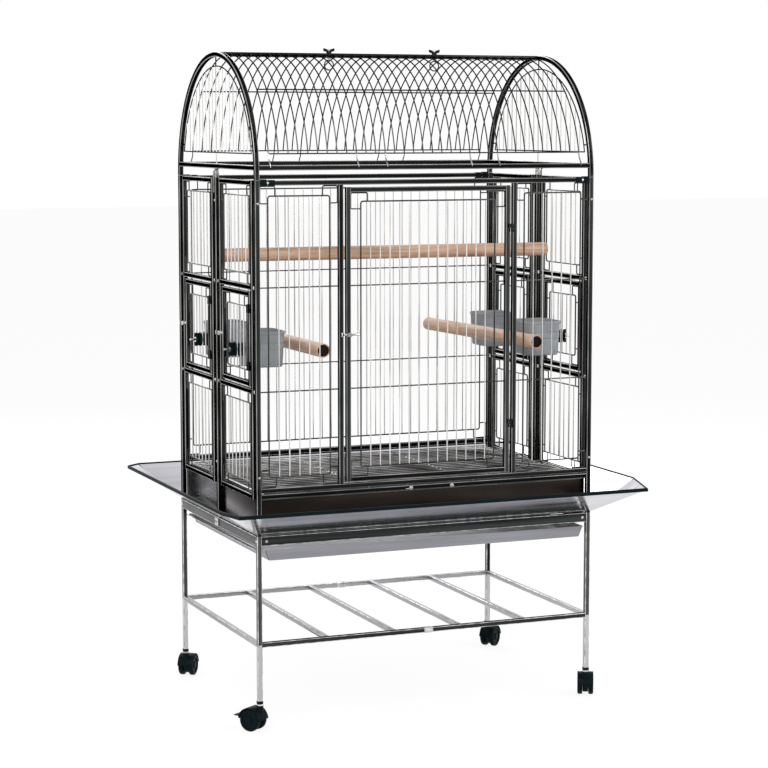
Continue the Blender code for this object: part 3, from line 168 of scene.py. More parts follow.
class CageColours(bpy.types.PropertyGroup):
    """Base colours of the cage's finishes."""

    dark_steel: FloatVectorProperty(
        name="Dark steel", description="Flat faces of the polished frames",
        subtype="COLOR", size=3, default=(0.014, 0.016, 0.015), min=0, max=1,
    )
    # Bright steel also paints light: highlights on the frames' rounded edges, and the bright copies of the
    # wires and stand tubes.
    bright_steel: FloatVectorProperty(
        name="Bright steel", description="Stand, edges and upright wires",
        subtype="COLOR", size=3, default=(0.62, 0.61, 0.60), min=0, max=1,
    )
    apron: FloatVectorProperty(
        name="Apron", description="Dark polished sheet round the base",
        subtype="COLOR", size=3, default=(0.0165, 0.0132, 0.0108), min=0, max=1,
    )
    guard: FloatVectorProperty(
        name="Seed guard", description="Bright sheet of the seed guard",
        subtype="COLOR", size=3, default=(0.60, 0.60, 0.64), min=0, max=1,
    )
    tray: FloatVectorProperty(
        name="Tray", description="Satin grey of the tray",
        subtype="COLOR", size=3, default=(0.30, 0.30, 0.33), min=0, max=1,
    )
    plastic: FloatVectorProperty(
        name="Black plastic", description="Casters, clamps and edging",
        subtype="COLOR", size=3, default=(0.0040, 0.0100, 0.0120), min=0, max=1,
    )
    cup: FloatVectorProperty(
        name="Cup", description="Grey plastic of the cups",
        subtype="COLOR", size=3, default=(0.39, 0.415, 0.44), min=0, max=1,
    )
    wood: FloatVectorProperty(
        name="Wood", description="Light wood of the perches",
        subtype="COLOR", size=3, default=(0.70, 0.455, 0.32), min=0, max=1,
    )
    perch_end: FloatVectorProperty(
        name="Perch end", description="Dark brown plug in a perch's end",
        subtype="COLOR", size=3, default=(0.012, 0.009, 0.007), min=0, max=1,
    )


# Finishes


def shade(colour, factor):
    """The colour made lighter or darker, with an alpha of 1."""
    return tuple(min(1.0, c * factor) for c in colour[:3]) + (1.0,)


def start_material(name):
    """A new node material, its tree and its shader."""
    made = bpy.data.materials.new(name)
    made.use_nodes = True
    return made, made.node_tree, made.node_tree.nodes["Principled BSDF"]


def pattern(tree, scale, noise_scale, detail=3.0, distortion=0.0):
    """A noise on the piece's own coordinates, stretched by scale."""
    coords = tree.nodes.new("ShaderNodeTexCoord")
    mapping = tree.nodes.new("ShaderNodeMapping")
    mapping.inputs["Scale"].default_value = scale
    noise = tree.nodes.new("ShaderNodeTexNoise")
    noise.inputs["Scale"].default_value = noise_scale
    noise.inputs["Detail"].default_value = detail
    noise.inputs["Distortion"].default_value = distortion
    tree.links.new(coords.outputs["Object"], mapping.inputs["Vector"])
    tree.links.new(mapping.outputs["Vector"], noise.inputs["Vector"])
    return noise.outputs["Fac"]


def ramp(tree, value, stops):
    """A colour ramp over a value; each stop is (position, colour)."""
    made = tree.nodes.new("ShaderNodeValToRGB")
    elements = made.color_ramp.elements
    elements[0].position, elements[0].color = stops[0]
    elements[1].position, elements[1].color = stops[-1]
    for position, colour in stops[1:-1]:
        elements.new(position).color = colour
    tree.links.new(value, made.inputs["Fac"])
    return made.outputs["Color"]


def ranged(tree, value, low, high):
    """The usual spread of a noise, laid over low to high."""
    made = tree.nodes.new("ShaderNodeMapRange")
    made.inputs["From Min"].default_value = 0.3
    made.inputs["From Max"].default_value = 0.7
    made.inputs["To Min"].default_value = low
    made.inputs["To Max"].default_value = high
    tree.links.new(value, made.inputs["Value"])
    return made.outputs["Result"]


def multiplied(tree, base, over, factor):
    """One colour multiplied by another, by a factor."""
    mix = tree.nodes.new("ShaderNodeMix")
    mix.data_type = "RGBA"
    mix.blend_type = "MULTIPLY"
    mix.inputs["Factor"].default_value = factor
    tree.links.new(base, mix.inputs["A"])
    tree.links.new(over, mix.inputs["B"])
    return mix.outputs["Result"]


def bumped(tree, shader, value, strength, distance):
    """Raises the surface a little where the value is high."""
    made = tree.nodes.new("ShaderNodeBump")
    made.inputs["Strength"].default_value = strength
    made.inputs["Distance"].default_value = distance
    tree.links.new(value, made.inputs["Height"])
    tree.links.new(made.outputs["Normal"], shader.inputs["Normal"])


def polished(name, colour, low, high, stretch, rough=(0.10, 0.22), grazing=1.0):
    """Polished steel with painted reflections: streaks from dark to bright painted along its length; grazing
    darkens it where seen aslant.
    """
    made, tree, shader = start_material(name)
    streak = pattern(tree, stretch, 60.0, 2.0)
    cloud = pattern(tree, (1, 1, 1), 14.0, 4.0)
    # The base colour runs from low to high times the colour over the streaks, as painted reflections; the
    # same streaks give a faint bump.
    tree.links.new(
        ramp(tree, streak, [(0.36, shade(colour, low)), (0.66, shade(colour, high))]),
        shader.inputs["Base Color"],
    )
    tree.links.new(ranged(tree, cloud, *rough), shader.inputs["Roughness"])
    shader.inputs["Metallic"].default_value = 1.0
    shader.inputs["Specular Tint"].default_value = (grazing, grazing, grazing, 1.0)
    bumped(tree, shader, streak, 0.06, 0.0004)
    return made


def moulded(name, colour, rough, grain):
    """Moulded plastic with a fine texture and faint mottling."""
    made, tree, shader = start_material(name)
    fine = pattern(tree, (1, 1, 1), grain, 3.0)
    broad = pattern(tree, (1, 1, 1), 18.0, 3.0)
    tree.links.new(
        ramp(tree, broad, [(0.3, shade(colour, 0.82)), (0.7, shade(colour, 1.2))]),
        shader.inputs["Base Color"],
    )
    tree.links.new(ranged(tree, fine, rough - 0.07, rough + 0.09), shader.inputs["Roughness"])
    shader.inputs["Specular IOR Level"].default_value = 0.05
    bumped(tree, shader, fine, 0.18, 0.0004)
    return made


def turned_wood(name, colour, stretch):
    """Pale wood with long grain, fine pores and warmer streaks."""
    made, tree, shader = start_material(name)
    grain = pattern(tree, stretch, 38.0, 6.0, 0.6)
    pores = pattern(tree, tuple(4 * s for s in stretch), 60.0, 2.0)
    base = ramp(
        tree,
        grain,
        [
            (0.30, shade(colour, 0.50)),
            (0.42, shade(colour, 0.90)),
            (0.58, shade(colour, 1.18)),
            (0.70, shade(colour, 0.66)),
        ],
    )
    flecks = ramp(tree, pores, [(0.34, (0.72, 0.66, 0.60, 1)), (0.46, (1, 1, 1, 1))])
    tree.links.new(multiplied(tree, base, flecks, 0.75), shader.inputs["Base Color"])
    tree.links.new(ranged(tree, grain, 0.42, 0.62), shader.inputs["Roughness"])
    bumped(tree, shader, pores, 0.25, 0.0006)
    return made


def brushed_sheet(name, colour, low, high, stretch, rough):
    """Sheet steel with long brushed lines and a slow change of tone."""
    made, tree, shader = start_material(name)
    lines = pattern(tree, stretch, 90.0, 2.0)
    tone = pattern(tree, (1, 1, 3), 3.0, 2.0)
    base = ramp(tree, tone, [(0.32, shade(colour, low)), (0.68, shade(colour, high))])
    fine = ramp(tree, lines, [(0.30, (0.80, 0.80, 0.80, 1)), (0.70, (1, 1, 1, 1))])
    tree.links.new(multiplied(tree, base, fine, 0.8), shader.inputs["Base Color"])
    tree.links.new(ranged(tree, lines, rough - 0.04, rough + 0.06), shader.inputs["Roughness"])
    shader.inputs["Metallic"].default_value = 1.0
    bumped(tree, shader, lines, 0.05, 0.0003)
    return made


def finish_named(finish):
    """The material of that finish, made the first time it is asked for."""
    name = f"{finish}_finish"
    found = bpy.data.materials.get(name)
    if found:
        return found
    colours = bpy.context.scene.cage_colours
    steel, bright = colours.dark_steel, colours.bright_steel
    cool = tuple(c * tint for c, tint in zip(bright, (0.96, 0.96, 1.04)))
    makers = {
        # Standing frame tubes get brighter painted reflection streaks than lying ones.
        "frame_upright": lambda: polished(name, steel, 0.5, 3.2, (1, 1, 0.02), grazing=0.12),
        "frame_cross": lambda: polished(name, steel, 0.5, 1.6, (0.02, 0.02, 1), grazing=0.05),
        # Rounded tube edges: a bright copy of the steel, a painted highlight; the apron's bead and the
        # bracket screws wear it too.
        "edge_highlight": lambda: polished(name, bright, 0.30, 0.60, (0.2, 0.2, 0.2), (0.10, 0.18)),
        # One stand steel in lighter and darker copies, as painted light and painted shade: the legs are dark
        # above the shelf and bright below it, and the front shelf tube is dark where the back one is bright.
        "stand_upright": lambda: polished(name, bright, 0.015, 0.13, (1.6, 1.6, 0.02), (0.14, 0.26)),
        "stand_low": lambda: polished(name, cool, 0.65, 1.05, (0.8, 0.8, 0.02), (0.14, 0.26)),
        "stand_cross": lambda: polished(name, cool, 0.42, 0.78, (0.02, 0.02, 0.25), (0.14, 0.26)),
        "stand_rail": lambda: polished(name, steel, 1.0, 4.0, (0.02, 0.02, 1), (0.14, 0.26), 0.2),
        "stand_side_rail": lambda: polished(name, steel, 1.2, 4.5, (0.02, 0.02, 1), (0.24, 0.36)),
        # One wire steel in copies of different brightness: painted light on the upright wires, painted shade
        # on the cross, loop and dome wires, and a middle tone on the grate wires.
        "wire_upright": lambda: polished(name, bright, 0.85, 1.35, (1, 1, 0.1)),
        "wire_cross": lambda: polished(name, bright, 0.07, 0.15, (0.3, 0.3, 0.3)),
        "dome_wire": lambda: polished(name, bright, 0.05, 0.12, (0.3, 0.3, 0.3), grazing=0.2),
        "grate_wire": lambda: polished(name, bright, 0.25, 0.60, (0.3, 0.3, 0.3)),
        "fitting": lambda: polished(name, bright, 0.5, 1.2, (1, 1, 1), (0.10, 0.20)),
        "apron_sheet": lambda: brushed_sheet(name, colours.apron, 0.5, 2.4, (0.01, 0.01, 0.6), 0.20),
        "guard_sheet": lambda: brushed_sheet(name, colours.guard, 0.85, 1.2, (0.02, 1, 0.05), 0.14),
        "tray_sheet": lambda: brushed_sheet(name, colours.tray, 0.85, 1.15, (0.05, 1, 1), 0.34),
        "black_plastic": lambda: moulded(name, colours.plastic, 0.42, 500.0),
        "cup_plastic": lambda: moulded(name, colours.cup, 0.48, 420.0),
        "perch_wood_x": lambda: turned_wood(name, colours.wood, (0.06, 1, 1)),
        "perch_wood_y": lambda: turned_wood(name, colours.wood, (1, 0.06, 1)),
        "perch_end": lambda: moulded(name, colours.perch_end, 0.55, 200.0),
    }
    return makers[finish]()


# Making pieces


STRAIGHT = 0.985  # a flat face's normal along its axis


class Piece:
    """A mesh that is put together from parts, each with its own finish."""

    def __init__(self, name):
        self.name = name
        self.bm = bmesh.new()
        self.finishes = []

    def index(self, finish):
        """The finish's place in the piece's list of materials."""
        if finish not in self.finishes:
            self.finishes.append(finish)
        return self.finishes.index(finish)

    def join(self, part):
        """Takes a part's mesh in and frees it."""
        mesh = bpy.data.meshes.new("part")
        part.to_mesh(mesh)
        part.free()
        self.bm.from_mesh(mesh)
        bpy.data.meshes.remove(mesh)

    def add(self, part, finish):
        """Takes in a part of one finish."""
        index = self.index(finish)
        for face in part.faces:
            face.material_index = index
        self.join(part)

    def add_tube(self, part, flat, edge):
        """Takes in a square tube: its flat sides have one finish and its rounded edges another, brighter
        one, which paints a highlight along the edges.
        """
        flat_index, edge_index = self.index(flat), self.index(edge)
        for face in part.faces:
            straight = max(abs(c) for c in face.normal) > STRAIGHT
            face.material_index = flat_index if straight else edge_index
        self.join(part)

    def done(self, body, slot, *nodes, sharp=38):
        """Makes the object, hangs it on its body and hides its nodes' solids; slot is not used."""
        mesh = bpy.data.meshes.new(self.name)
        self.bm.to_mesh(mesh)
        self.bm.free()
        for name in self.finishes:
            mesh.materials.append(finish_named(name))
        mesh.shade_smooth()
        mesh.set_sharp_from_angle(angle=math.radians(sharp))
        obj = bpy.data.objects.new(self.name, mesh)
        bpy.context.scene.collection.objects.link(obj)
        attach(obj, body)
        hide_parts(*nodes)


def verts_of(geometry):
    """The vertices among an operator's results."""
    return [g for g in geometry if isinstance(g, bmesh.types.BMVert)]


def edges_of(geometry):
    """The edges among an operator's results."""
    return [g for g in geometry if isinstance(g, bmesh.types.BMEdge)]


def placed_along(place, way):
    """The matrix that puts a shape's Z axis along a way, at a place."""
    return Matrix.Translation(place) @ Vector(way).to_track_quat("Z", "Y").to_matrix().to_4x4()


def closed(bm, ring):
    """Fills the open end of a swept shape and turns its faces outwards."""
    bmesh.ops.holes_fill(bm, edges=ring, sides=0)
    bmesh.ops.recalc_face_normals(bm, faces=bm.faces)
    return bm


def spun(bm, geom, centre, axis, angle, steps, merge=False):
    """Spins geometry about an axis and gives back the last row of edges."""
    turned = bmesh.ops.spin(
        bm, geom=geom, cent=centre, axis=axis, dvec=(0, 0, 0), angle=angle, steps=steps,
        use_merge=merge, use_normal_flip=False, use_duplicate=False,
    )
    return edges_of(turned["geom_last"])


def cuboid(centre, size):
    """A sharp box about a centre."""
    bm = bmesh.new()
    bmesh.ops.create_cube(bm, size=1.0)
    bmesh.ops.scale(bm, vec=size, verts=bm.verts)
    bmesh.ops.translate(bm, vec=centre, verts=bm.verts)
    return bm


def rounded(bm, edges, offset, segments=2):
    """Rounds edges of a shape."""
    bmesh.ops.bevel(
        bm, geom=edges, offset=offset, segments=segments, profile=0.5, affect="EDGES", material=-1
    )


def block(corner, opposite, bevel=0.0, segments=2):
    """A box between any two opposite corners, with rounded edges."""
    corner, opposite = Vector(corner), Vector(opposite)
    bm = cuboid((corner + opposite) / 2, Vector([abs(c) for c in opposite - corner]))
    if bevel:
        rounded(bm, bm.edges[:], bevel, segments)
    bm.normal_update()
    return bm


def bar(start, end, wide, high, corner):
    """A tube between two points along one axis: wide across it, high up it."""
    start, end = Vector(start), Vector(end)
    along = max(range(3), key=lambda k: abs(end[k] - start[k]))
    size = Vector((wide, high, 0)) if along == 2 else Vector((wide, wide, high))
    size[along] = abs(end[along] - start[along])
    bm = cuboid((start + end) / 2, size)
    run = Vector([1.0 if k == along else 0.0 for k in range(3)])
    long_edges = [e for e in bm.edges if abs((e.verts[0].co - e.verts[1].co).normalized().dot(run)) > 0.9]
    rounded(bm, long_edges, corner, 3)
    bm.normal_update()
    return bm


def rod(start, end, radius, sides=12, bevel=0.0):
    """A round rod between two points."""
    start, end = Vector(start), Vector(end)
    way = end - start
    bm = bmesh.new()
    bmesh.ops.create_cone(
        bm, cap_ends=True, segments=sides, radius1=radius, radius2=radius, depth=way.length,
        matrix=placed_along((start + end) / 2, way),
    )
    if bevel:
        rounded(bm, [e for e in bm.edges if any(len(f.verts) > 4 for f in e.link_faces)], bevel)
    return bm


def disc(place, way, radius, sides):
    """The first ring of a wire, with its end face."""
    bm = bmesh.new()
    bmesh.ops.create_circle(
        bm, cap_ends=True, segments=sides, radius=radius, matrix=placed_along(place, way)
    )
    return bm


def bent(points, radius, bend, sides=8, steps=4):
    """A round wire that follows points, with its corners bent round."""
    points = [Vector(p) for p in points]
    way = (points[1] - points[0]).normalized()
    bm = disc(points[0], way, radius, sides)
    ring = bm.edges[:]
    here = points[0]
    for k in range(1, len(points)):
        last = k == len(points) - 1
        trim = 0.0
        if not last:
            onward = (points[k + 1] - points[k]).normalized()
            angle = way.angle(onward)
            trim = bend * math.tan(angle / 2)
        target = points[k] - way * trim
        grown = bmesh.ops.extrude_edge_only(bm, edges=ring)["geom"]
        moved = verts_of(grown)
        bmesh.ops.translate(bm, vec=target - here, verts=moved)
        ring = [e for e in edges_of(grown) if all(v in moved for v in e.verts)]
        here = target
        if last or angle < 1e-4:
            continue
        axis = way.cross(onward).normalized()
        inward = axis.cross(way).normalized()
        ring = spun(bm, ring, here + inward * bend, axis, angle, steps)
        here = points[k] + onward * trim
        way = onward
    return closed(bm, ring)


def swept(centre, axis, start, way, radius, angle, sides=8, steps=32):
    """A round wire bent to an arc about an axis."""
    bm = disc(start, way, radius, sides)
    return closed(bm, spun(bm, bm.edges[:], centre, axis, angle, steps))


def lathed(centre, axis, profile, steps=32):
    """A turned shape: profile is (distance along the axis, radius) from end to end."""
    axis = Vector(axis)
    across = axis.orthogonal().normalized()
    bm = bmesh.new()
    points = [bm.verts.new(Vector(centre) + axis * a + across * r) for a, r in profile]
    edges = [bm.edges.new(pair) for pair in zip(points, points[1:])]
    spun(bm, points + edges, centre, axis, 2 * math.pi, steps, merge=True)
    bmesh.ops.remove_doubles(bm, verts=bm.verts, dist=1e-5)
    bmesh.ops.recalc_face_normals(bm, faces=bm.faces)
    return bm


def spaced(start, end, pitch):
    """Even places from start to end, about a pitch apart."""
    count = max(2, round((end - start) / pitch))
    return [start + (end - start) * k / count for k in range(count + 1)]


def on_plane(plane, level):
    """Turns a panel's (across, up) into a point, in the front and back planes or the side planes."""
    if plane == "front":
        return lambda u, v, out=0.0: Vector((u, level + out, v))
    return lambda u, v, out=0.0: Vector((level + out, u, v))


def add_grid(piece, point, opening, inset, inset_end, crossings=(), stand_off=0.0):
    """A wire net in a frame's opening: its loop, corner wires, uprights and cross wires."""
    sizes = bpy.context.scene.cage_sizes
    radius, bend, sides = sizes.wire / 2, sizes.bend, sizes.sides
    left, right, low, high = opening
    net_left, net_right = left + inset, right - inset
    net_low, net_high = low + inset_end, high - inset_end
    mid = (net_left + net_right) / 2
    loop = [
        (mid, net_low), (net_right, net_low), (net_right, net_high), (net_left, net_high),
        (net_left, net_low), (mid, net_low),
    ]
    # The loop and cross wires take the dark wire copy and the uprights the bright one: painted shade and
    # painted light.
    piece.add(bent([point(u, v) for u, v in loop], radius + 0.0003, bend, sides), "wire_cross")
    for u in spaced(net_left, net_right, sizes.pitch)[1:-1]:
        piece.add(rod(point(u, net_low), point(u, net_high), radius, sides), "wire_upright")
    for v in crossings:
        start, end = point(left, v, stand_off), point(right, v, stand_off)
        piece.add(rod(start, end, radius, sides), "wire_cross")
    for frame_u, net_u, inward in ((left, net_left, 1), (right, net_right, -1)):
        for frame_v, net_v, upward in ((low, net_low, 1), (high, net_high, -1)):
            near_u, near_v = frame_u + inward * radius, frame_v + upward * radius
            ear_u, ear_v = net_u + inward * sizes.ear, net_v + upward * sizes.ear
            path = [(net_u, ear_v), (near_u, ear_v), (near_u, near_v), (ear_u, near_v), (ear_u, net_v)]
            piece.add(bent([point(u, v) for u, v in path], radius, bend * 0.7, sides), "wire_cross")


def is_upright(start, end):
    """Whether a tube stands rather than lies."""
    run = Vector(end) - Vector(start)
    return abs(run.z) > max(abs(run.x), abs(run.y))


def add_bar(piece, start, end):
    """A tube of the cage's frames."""
    sizes = bpy.context.scene.cage_sizes
    flat = "frame_upright" if is_upright(start, end) else "frame_cross"
    tube = bar(start, end, sizes.tube, sizes.tube, sizes.tube_corner)
    piece.add_tube(tube, flat, "edge_highlight")


def add_stand_bar(piece, start, end, high=None, flat=None):
    """A tube of the stand, which is brighter than the cage's; lying tubes take a bright copy of its steel
    and standing ones a dark copy, painted light and painted shade, and its rounded edges the bright fitting
    finish as a painted highlight.
    """
    sizes = bpy.context.scene.cage_sizes
    flat = flat or ("stand_upright" if is_upright(start, end) else "stand_cross")
    tube = bar(start, end, sizes.tube, high or sizes.tube, sizes.tube_corner)
    piece.add_tube(tube, flat, "fitting")


def add_frame(piece, point, left, right, low, high):
    """A rectangular tube frame; its four values are the tubes' centre lines."""
    half = bpy.context.scene.cage_sizes.tube / 2
    for u in (left, right):
        add_bar(piece, point(u, low - half), point(u, high + half))
    for v in (low, high):
        add_bar(piece, point(left + half, v), point(right - half, v))


def add_screw(piece, centre, way, size, finish="fitting"):
    """A domed screw head; size is its radius and height."""
    radius, high = size
    profile = [(0, radius), (high * 0.5, radius * 0.92), (high * 0.85, radius * 0.6), (high, 0)]
    piece.add(lathed(centre, way, profile, 14), finish)


def add_corner_clamp(piece, post, way, out, z):
    """A two-part clamp on a top rail beside its post, with a screw between the parts."""
    x, y = post
    depth = 0.0075
    for start, stop, high in ((0.0068, 0.0215, 0.0078), (0.0245, 0.0400, 0.0066)):
        part = block((x + way * start, y - depth, z - high), (x + way * stop, y + depth, z + high), 0.0018)
        piece.add(part, "black_plastic")
    add_screw(piece, (x + way * 0.023, y + out * 0.0055, z), (0, out, 0), (0.0030, 0.0024))


def add_hinge_half(piece, axis_point, low, leaf_to, pin=False):
    """A hinge half: a rolled barrel on the axis and a leaf that runs to its tube."""
    finish = "frame_upright"
    x, y = axis_point
    top = low + HINGE_HIGH
    piece.add(rod((x, y, low), (x, y, top), HINGE_R, 20, 0.0006), finish)
    piece.add(block((x, y, low), (*leaf_to, top), 0.0006), finish)
    if pin:
        pin_top = top + HINGE_HIGH + 0.001
        piece.add(rod((x, y, top), (x, y, pin_top), HINGE_R / 2, 12, 0.0005), finish)


def add_keeper(piece, place, out):
    """A wire loop on a tube's face; place is on the axis of the bolt that it takes."""
    place, out, up = Vector(place), Vector(out), UP * KEEPER_HALF
    root, tip = place - out * (BOLT_OUT + 0.001), place + out * KEEPER_REACH
    piece.add(bent([root + up, tip + up, tip - up, root - up], KEEPER_WIRE_R, 0.002), "fitting")


def add_collar(piece, place, out):
    """A bolt's guide on a tube's face; place is on the bolt's axis."""
    place, out = Vector(place), Vector(out)
    reach = UP.cross(out) * 0.005 + UP * COLLAR_HALF
    outer, inner = place + out * COLLAR_HALF, place - out * (BOLT_OUT + 0.0005)
    piece.add(block(outer + reach, inner - reach, 0.0014), "fitting")


# Operators


class CAGE_OT_stand(bpy.types.Operator):
    """Builds the stand's two sides, its rails and the storage shelf"""

    bl_idname = "cage.stand"
    bl_label = "Stand"

    def execute(self, context):
        sizes = context.scene.cage_sizes
        self.half = sizes.tube / 2
        self.rail_mid = (STAND_RAIL_LOW_Z + STAND_TOP_Z) / 2
        self.rail_high = STAND_TOP_Z - STAND_RAIL_LOW_Z
        for side, name in SIDES:
            self.side_frame(sizes, side, name)
        for end, name in ENDS:
            self.end_rail(end, name)
        self.shelf()
        return {"FINISHED"}

    def side_frame(self, sizes, side, name):
        """Two legs with end caps, the low and high rails, a bracket and the tray's ledge."""
        half, rail_mid = self.half, self.rail_mid
        x = side * POST_X
        inner_front, inner_back = FRONT_Y + half, BACK_Y - half
        cap = half + 0.0006
        piece = Piece(f"stand_side_{name}_tubes")
        for y in (FRONT_Y, BACK_Y):
            # Painted light and shade: the same leg takes a bright copy of the steel below the shelf and a
            # dark copy above it.
            add_stand_bar(piece, (x, y, LEG_FOOT_Z), (x, y, SHELF_Z), flat="stand_low")
            add_stand_bar(piece, (x, y, SHELF_Z), (x, y, STAND_TOP_Z))
            foot = block((x - cap, y - cap, LEG_FOOT_Z), (x + cap, y + cap, LEG_FOOT_Z + 0.006), 0.001)
            piece.add(foot, "black_plastic")
            add_screw(piece, (x + side * half, y, rail_mid), (side, 0, 0), LARGE_SCREW)
        add_stand_bar(piece, (x, inner_front, SHELF_Z), (x, inner_back, SHELF_Z))
        add_stand_bar(
            piece, (x, inner_front, rail_mid), (x, inner_back, rail_mid), self.rail_high, "stand_side_rail"
        )
        face, plate = x + side * half, x + side * (half + 0.003)
        wide, high = 0.011, 0.009
        bracket = block(
            (face, MID_Y - wide, rail_mid - high), (plate, MID_Y + wide, rail_mid + high), 0.001
        )
        piece.add(bracket, "fitting")
        for y in (MID_Y - 0.006, MID_Y + 0.006):
            add_screw(piece, (plate, y, rail_mid), (side, 0, 0), BRACKET_SCREW, "edge_highlight")
        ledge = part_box(f"stand_side_{name}")
        ledge_in = ledge[1].x if side < 0 else ledge[0].x
        ledge_out = side * (POST_X - sizes.sheet)
        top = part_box("tray")[1].z - 0.004
        near, far = inner_front + sizes.tube, inner_back - sizes.tube
        sheet = block((ledge_in, near, top - sizes.sheet), (ledge_out, far, top))
        piece.add(sheet, "fitting")
        piece.done("cage", "polished_steel", f"stand_side_{name}")

    def end_rail(self, end, name):
        """The front or back high rail, with a screw near each end."""
        y = FRONT_Y if end < 0 else BACK_Y
        z = self.rail_mid
        piece = Piece(f"stand_rail_{name}_tube")
        add_stand_bar(piece, (-END_X, y, z), (END_X, y, z), self.rail_high, "stand_rail")
        for side in (-1, 1):
            add_screw(piece, (side * (END_X - 0.010), y + end * self.half, z), (0, end, 0), RAIL_SCREW)
        piece.done("cage", "polished_steel", f"stand_rail_{name}")

    def shelf(self):
        """Two long tubes with a coupling in the middle, and four slats."""
        half, slats = self.half, 4
        coupling = half + 0.0008
        piece = Piece("storage_shelf_tubes")
        for y, end in ((FRONT_Y, -1), (BACK_Y, 1)):
            # Painted shade and painted light: the front shelf tube takes a dark copy of the steel, the back
            # one a bright copy.
            tone = "stand_rail" if end < 0 else "stand_cross"
            add_stand_bar(piece, (-END_X, y, SHELF_Z), (END_X, y, SHELF_Z), flat=tone)
            sleeve = block(
                (-0.011, y - coupling, SHELF_Z - coupling), (0.011, y + coupling, SHELF_Z + coupling), 0.0015
            )
            piece.add(sleeve, "fitting")
            add_screw(piece, (0, y + end * coupling, SHELF_Z), (0, end, 0), SHELF_SCREW)
        bay = 2 * POST_X / (slats + 1)
        for k in range(slats):
            x = -POST_X + bay * (k + 1)
            add_stand_bar(piece, (x, FRONT_Y + half, SHELF_Z), (x, BACK_Y - half, SHELF_Z))
        piece.done("cage", "polished_steel", "storage_shelf")


class CAGE_OT_casters(bpy.types.Operator):
    """Builds the four twin-wheel casters and the brake lever"""

    bl_idname = "cage.casters"
    bl_label = "Casters"

    def execute(self, context):
        for corner in ("front_left", "front_right", "back_left", "back_right"):
            axle = middle(f"caster_wheels_{corner}")
            stem_x = POST_X if "right" in corner else -POST_X
            stem_y = BACK_Y if "back" in corner else FRONT_Y
            stem = Vector((stem_x, stem_y, 0))
            trail = Vector((axle.x - stem.x, axle.y - stem.y, 0)).normalized()
            across = UP.cross(trail)
            self.wheels(corner, axle, across)
            self.fork(corner, axle, stem, trail, across)
        return {"FINISHED"}

    def wheels(self, corner, axle, across):
        """Two wheels with rounded treads and hollow outer faces, on one axle."""
        radius = axle.z
        inner = 0.0069
        outer = inner + 0.0115
        profile = [
            (inner, 0.0), (inner, 0.003), (inner, radius * 0.90), (inner + 0.0010, radius * 0.975),
            (inner + 0.0026, radius), (outer - 0.0030, radius), (outer - 0.0010, radius * 0.96),
            (outer, radius * 0.88), (outer, radius * 0.74), (outer - 0.0022, radius * 0.70),
            (outer - 0.0026, radius * 0.34), (outer, radius * 0.30), (outer, radius * 0.10), (outer, 0.0),
        ]
        piece = Piece(f"caster_wheels_{corner}_pair")
        for side in (-1, 1):
            piece.add(lathed(axle, across * side, profile, 40), "black_plastic")
        piece.add(rod(axle - across * inner, axle + across * inner, 0.004, 16), "fitting")
        piece.done(f"wheels_{corner}", "black_plastic", f"caster_wheels_{corner}")

    def hood(self, axle, trail, across):
        """The fork's hood: a rounded strip spun over the wheels."""
        half_wide, start = 0.0184, math.radians(5)
        out = trail * math.cos(start) + UP * math.sin(start)
        low, high = axle + out * (axle.z + HOOD_GAP), axle + out * (axle.z + HOOD_GAP + HOOD_THICK)
        aside = across * half_wide
        bm = bmesh.new()
        bm.faces.new([bm.verts.new(c) for c in (low - aside, low + aside, high + aside, high - aside)])
        bmesh.ops.bevel(
            bm, geom=bm.verts[:], offset=0.0009, segments=2, profile=0.5, affect="VERTICES", material=-1
        )
        return closed(bm, spun(bm, bm.edges[:], axle, -across, math.radians(170), 26))

    def fork(self, corner, axle, stem, trail, across):
        """A hood over the wheels, a web between them, and a stem with its washer."""
        name = f"caster_fork_{corner}"
        radius = axle.z
        piece = Piece(f"{name}_hood")
        piece.add(self.hood(axle, trail, across), "black_plastic")
        web, hole = 0.0063, 0.0046
        profile = [
            (-web, hole), (-web, radius * 0.72), (-web + 0.001, radius * 0.78),
            (web - 0.001, radius * 0.78), (web, radius * 0.72), (web, hole), (-web, hole),
        ]
        piece.add(lathed(axle, across, profile, 36), "black_plastic")
        top = stem + UP * (LEG_FOOT_Z - 0.0004)
        piece.add(rod(stem + UP * radius, top, 0.0078, 24, 0.001), "black_plastic")
        piece.add(rod(stem + UP * radius * 0.78, axle + UP * radius * 0.5, web, 14), "black_plastic")
        piece.add(rod(stem + UP * (LEG_FOOT_Z - 0.004), top, 0.0082, 24, 0.0006), "fitting")
        piece.done(f"caster_{corner}", "black_plastic", name)
        if corner == "front_left":
            self.brake(axle, trail, across)

    def brake(self, axle, trail, across):
        """The brake lever behind the front left hood."""
        half_wide = 0.011
        pivot = axle + trail * (axle.z + HOOD_GAP + HOOD_THICK + 0.0033) + UP * 0.006
        lever = Piece("caster_brake_front_left_lever")
        aside = across * half_wide
        lever.add(rod(pivot - aside, pivot + aside, 0.0029, 16, 0.0005), "black_plastic")
        plate = block((0, -half_wide, -0.0012), (0.013, half_wide, 0.0012), 0.0006)
        turn = Matrix((
            (trail.x, across.x, 0, pivot.x), (trail.y, across.y, 0, pivot.y),
            (0, 0, 1, pivot.z), (0, 0, 0, 1),
        ))
        bmesh.ops.transform(plate, matrix=turn, verts=plate.verts)
        lever.add(plate, "black_plastic")
        lever.done("brake", "black_plastic", "caster_brake_front_left")


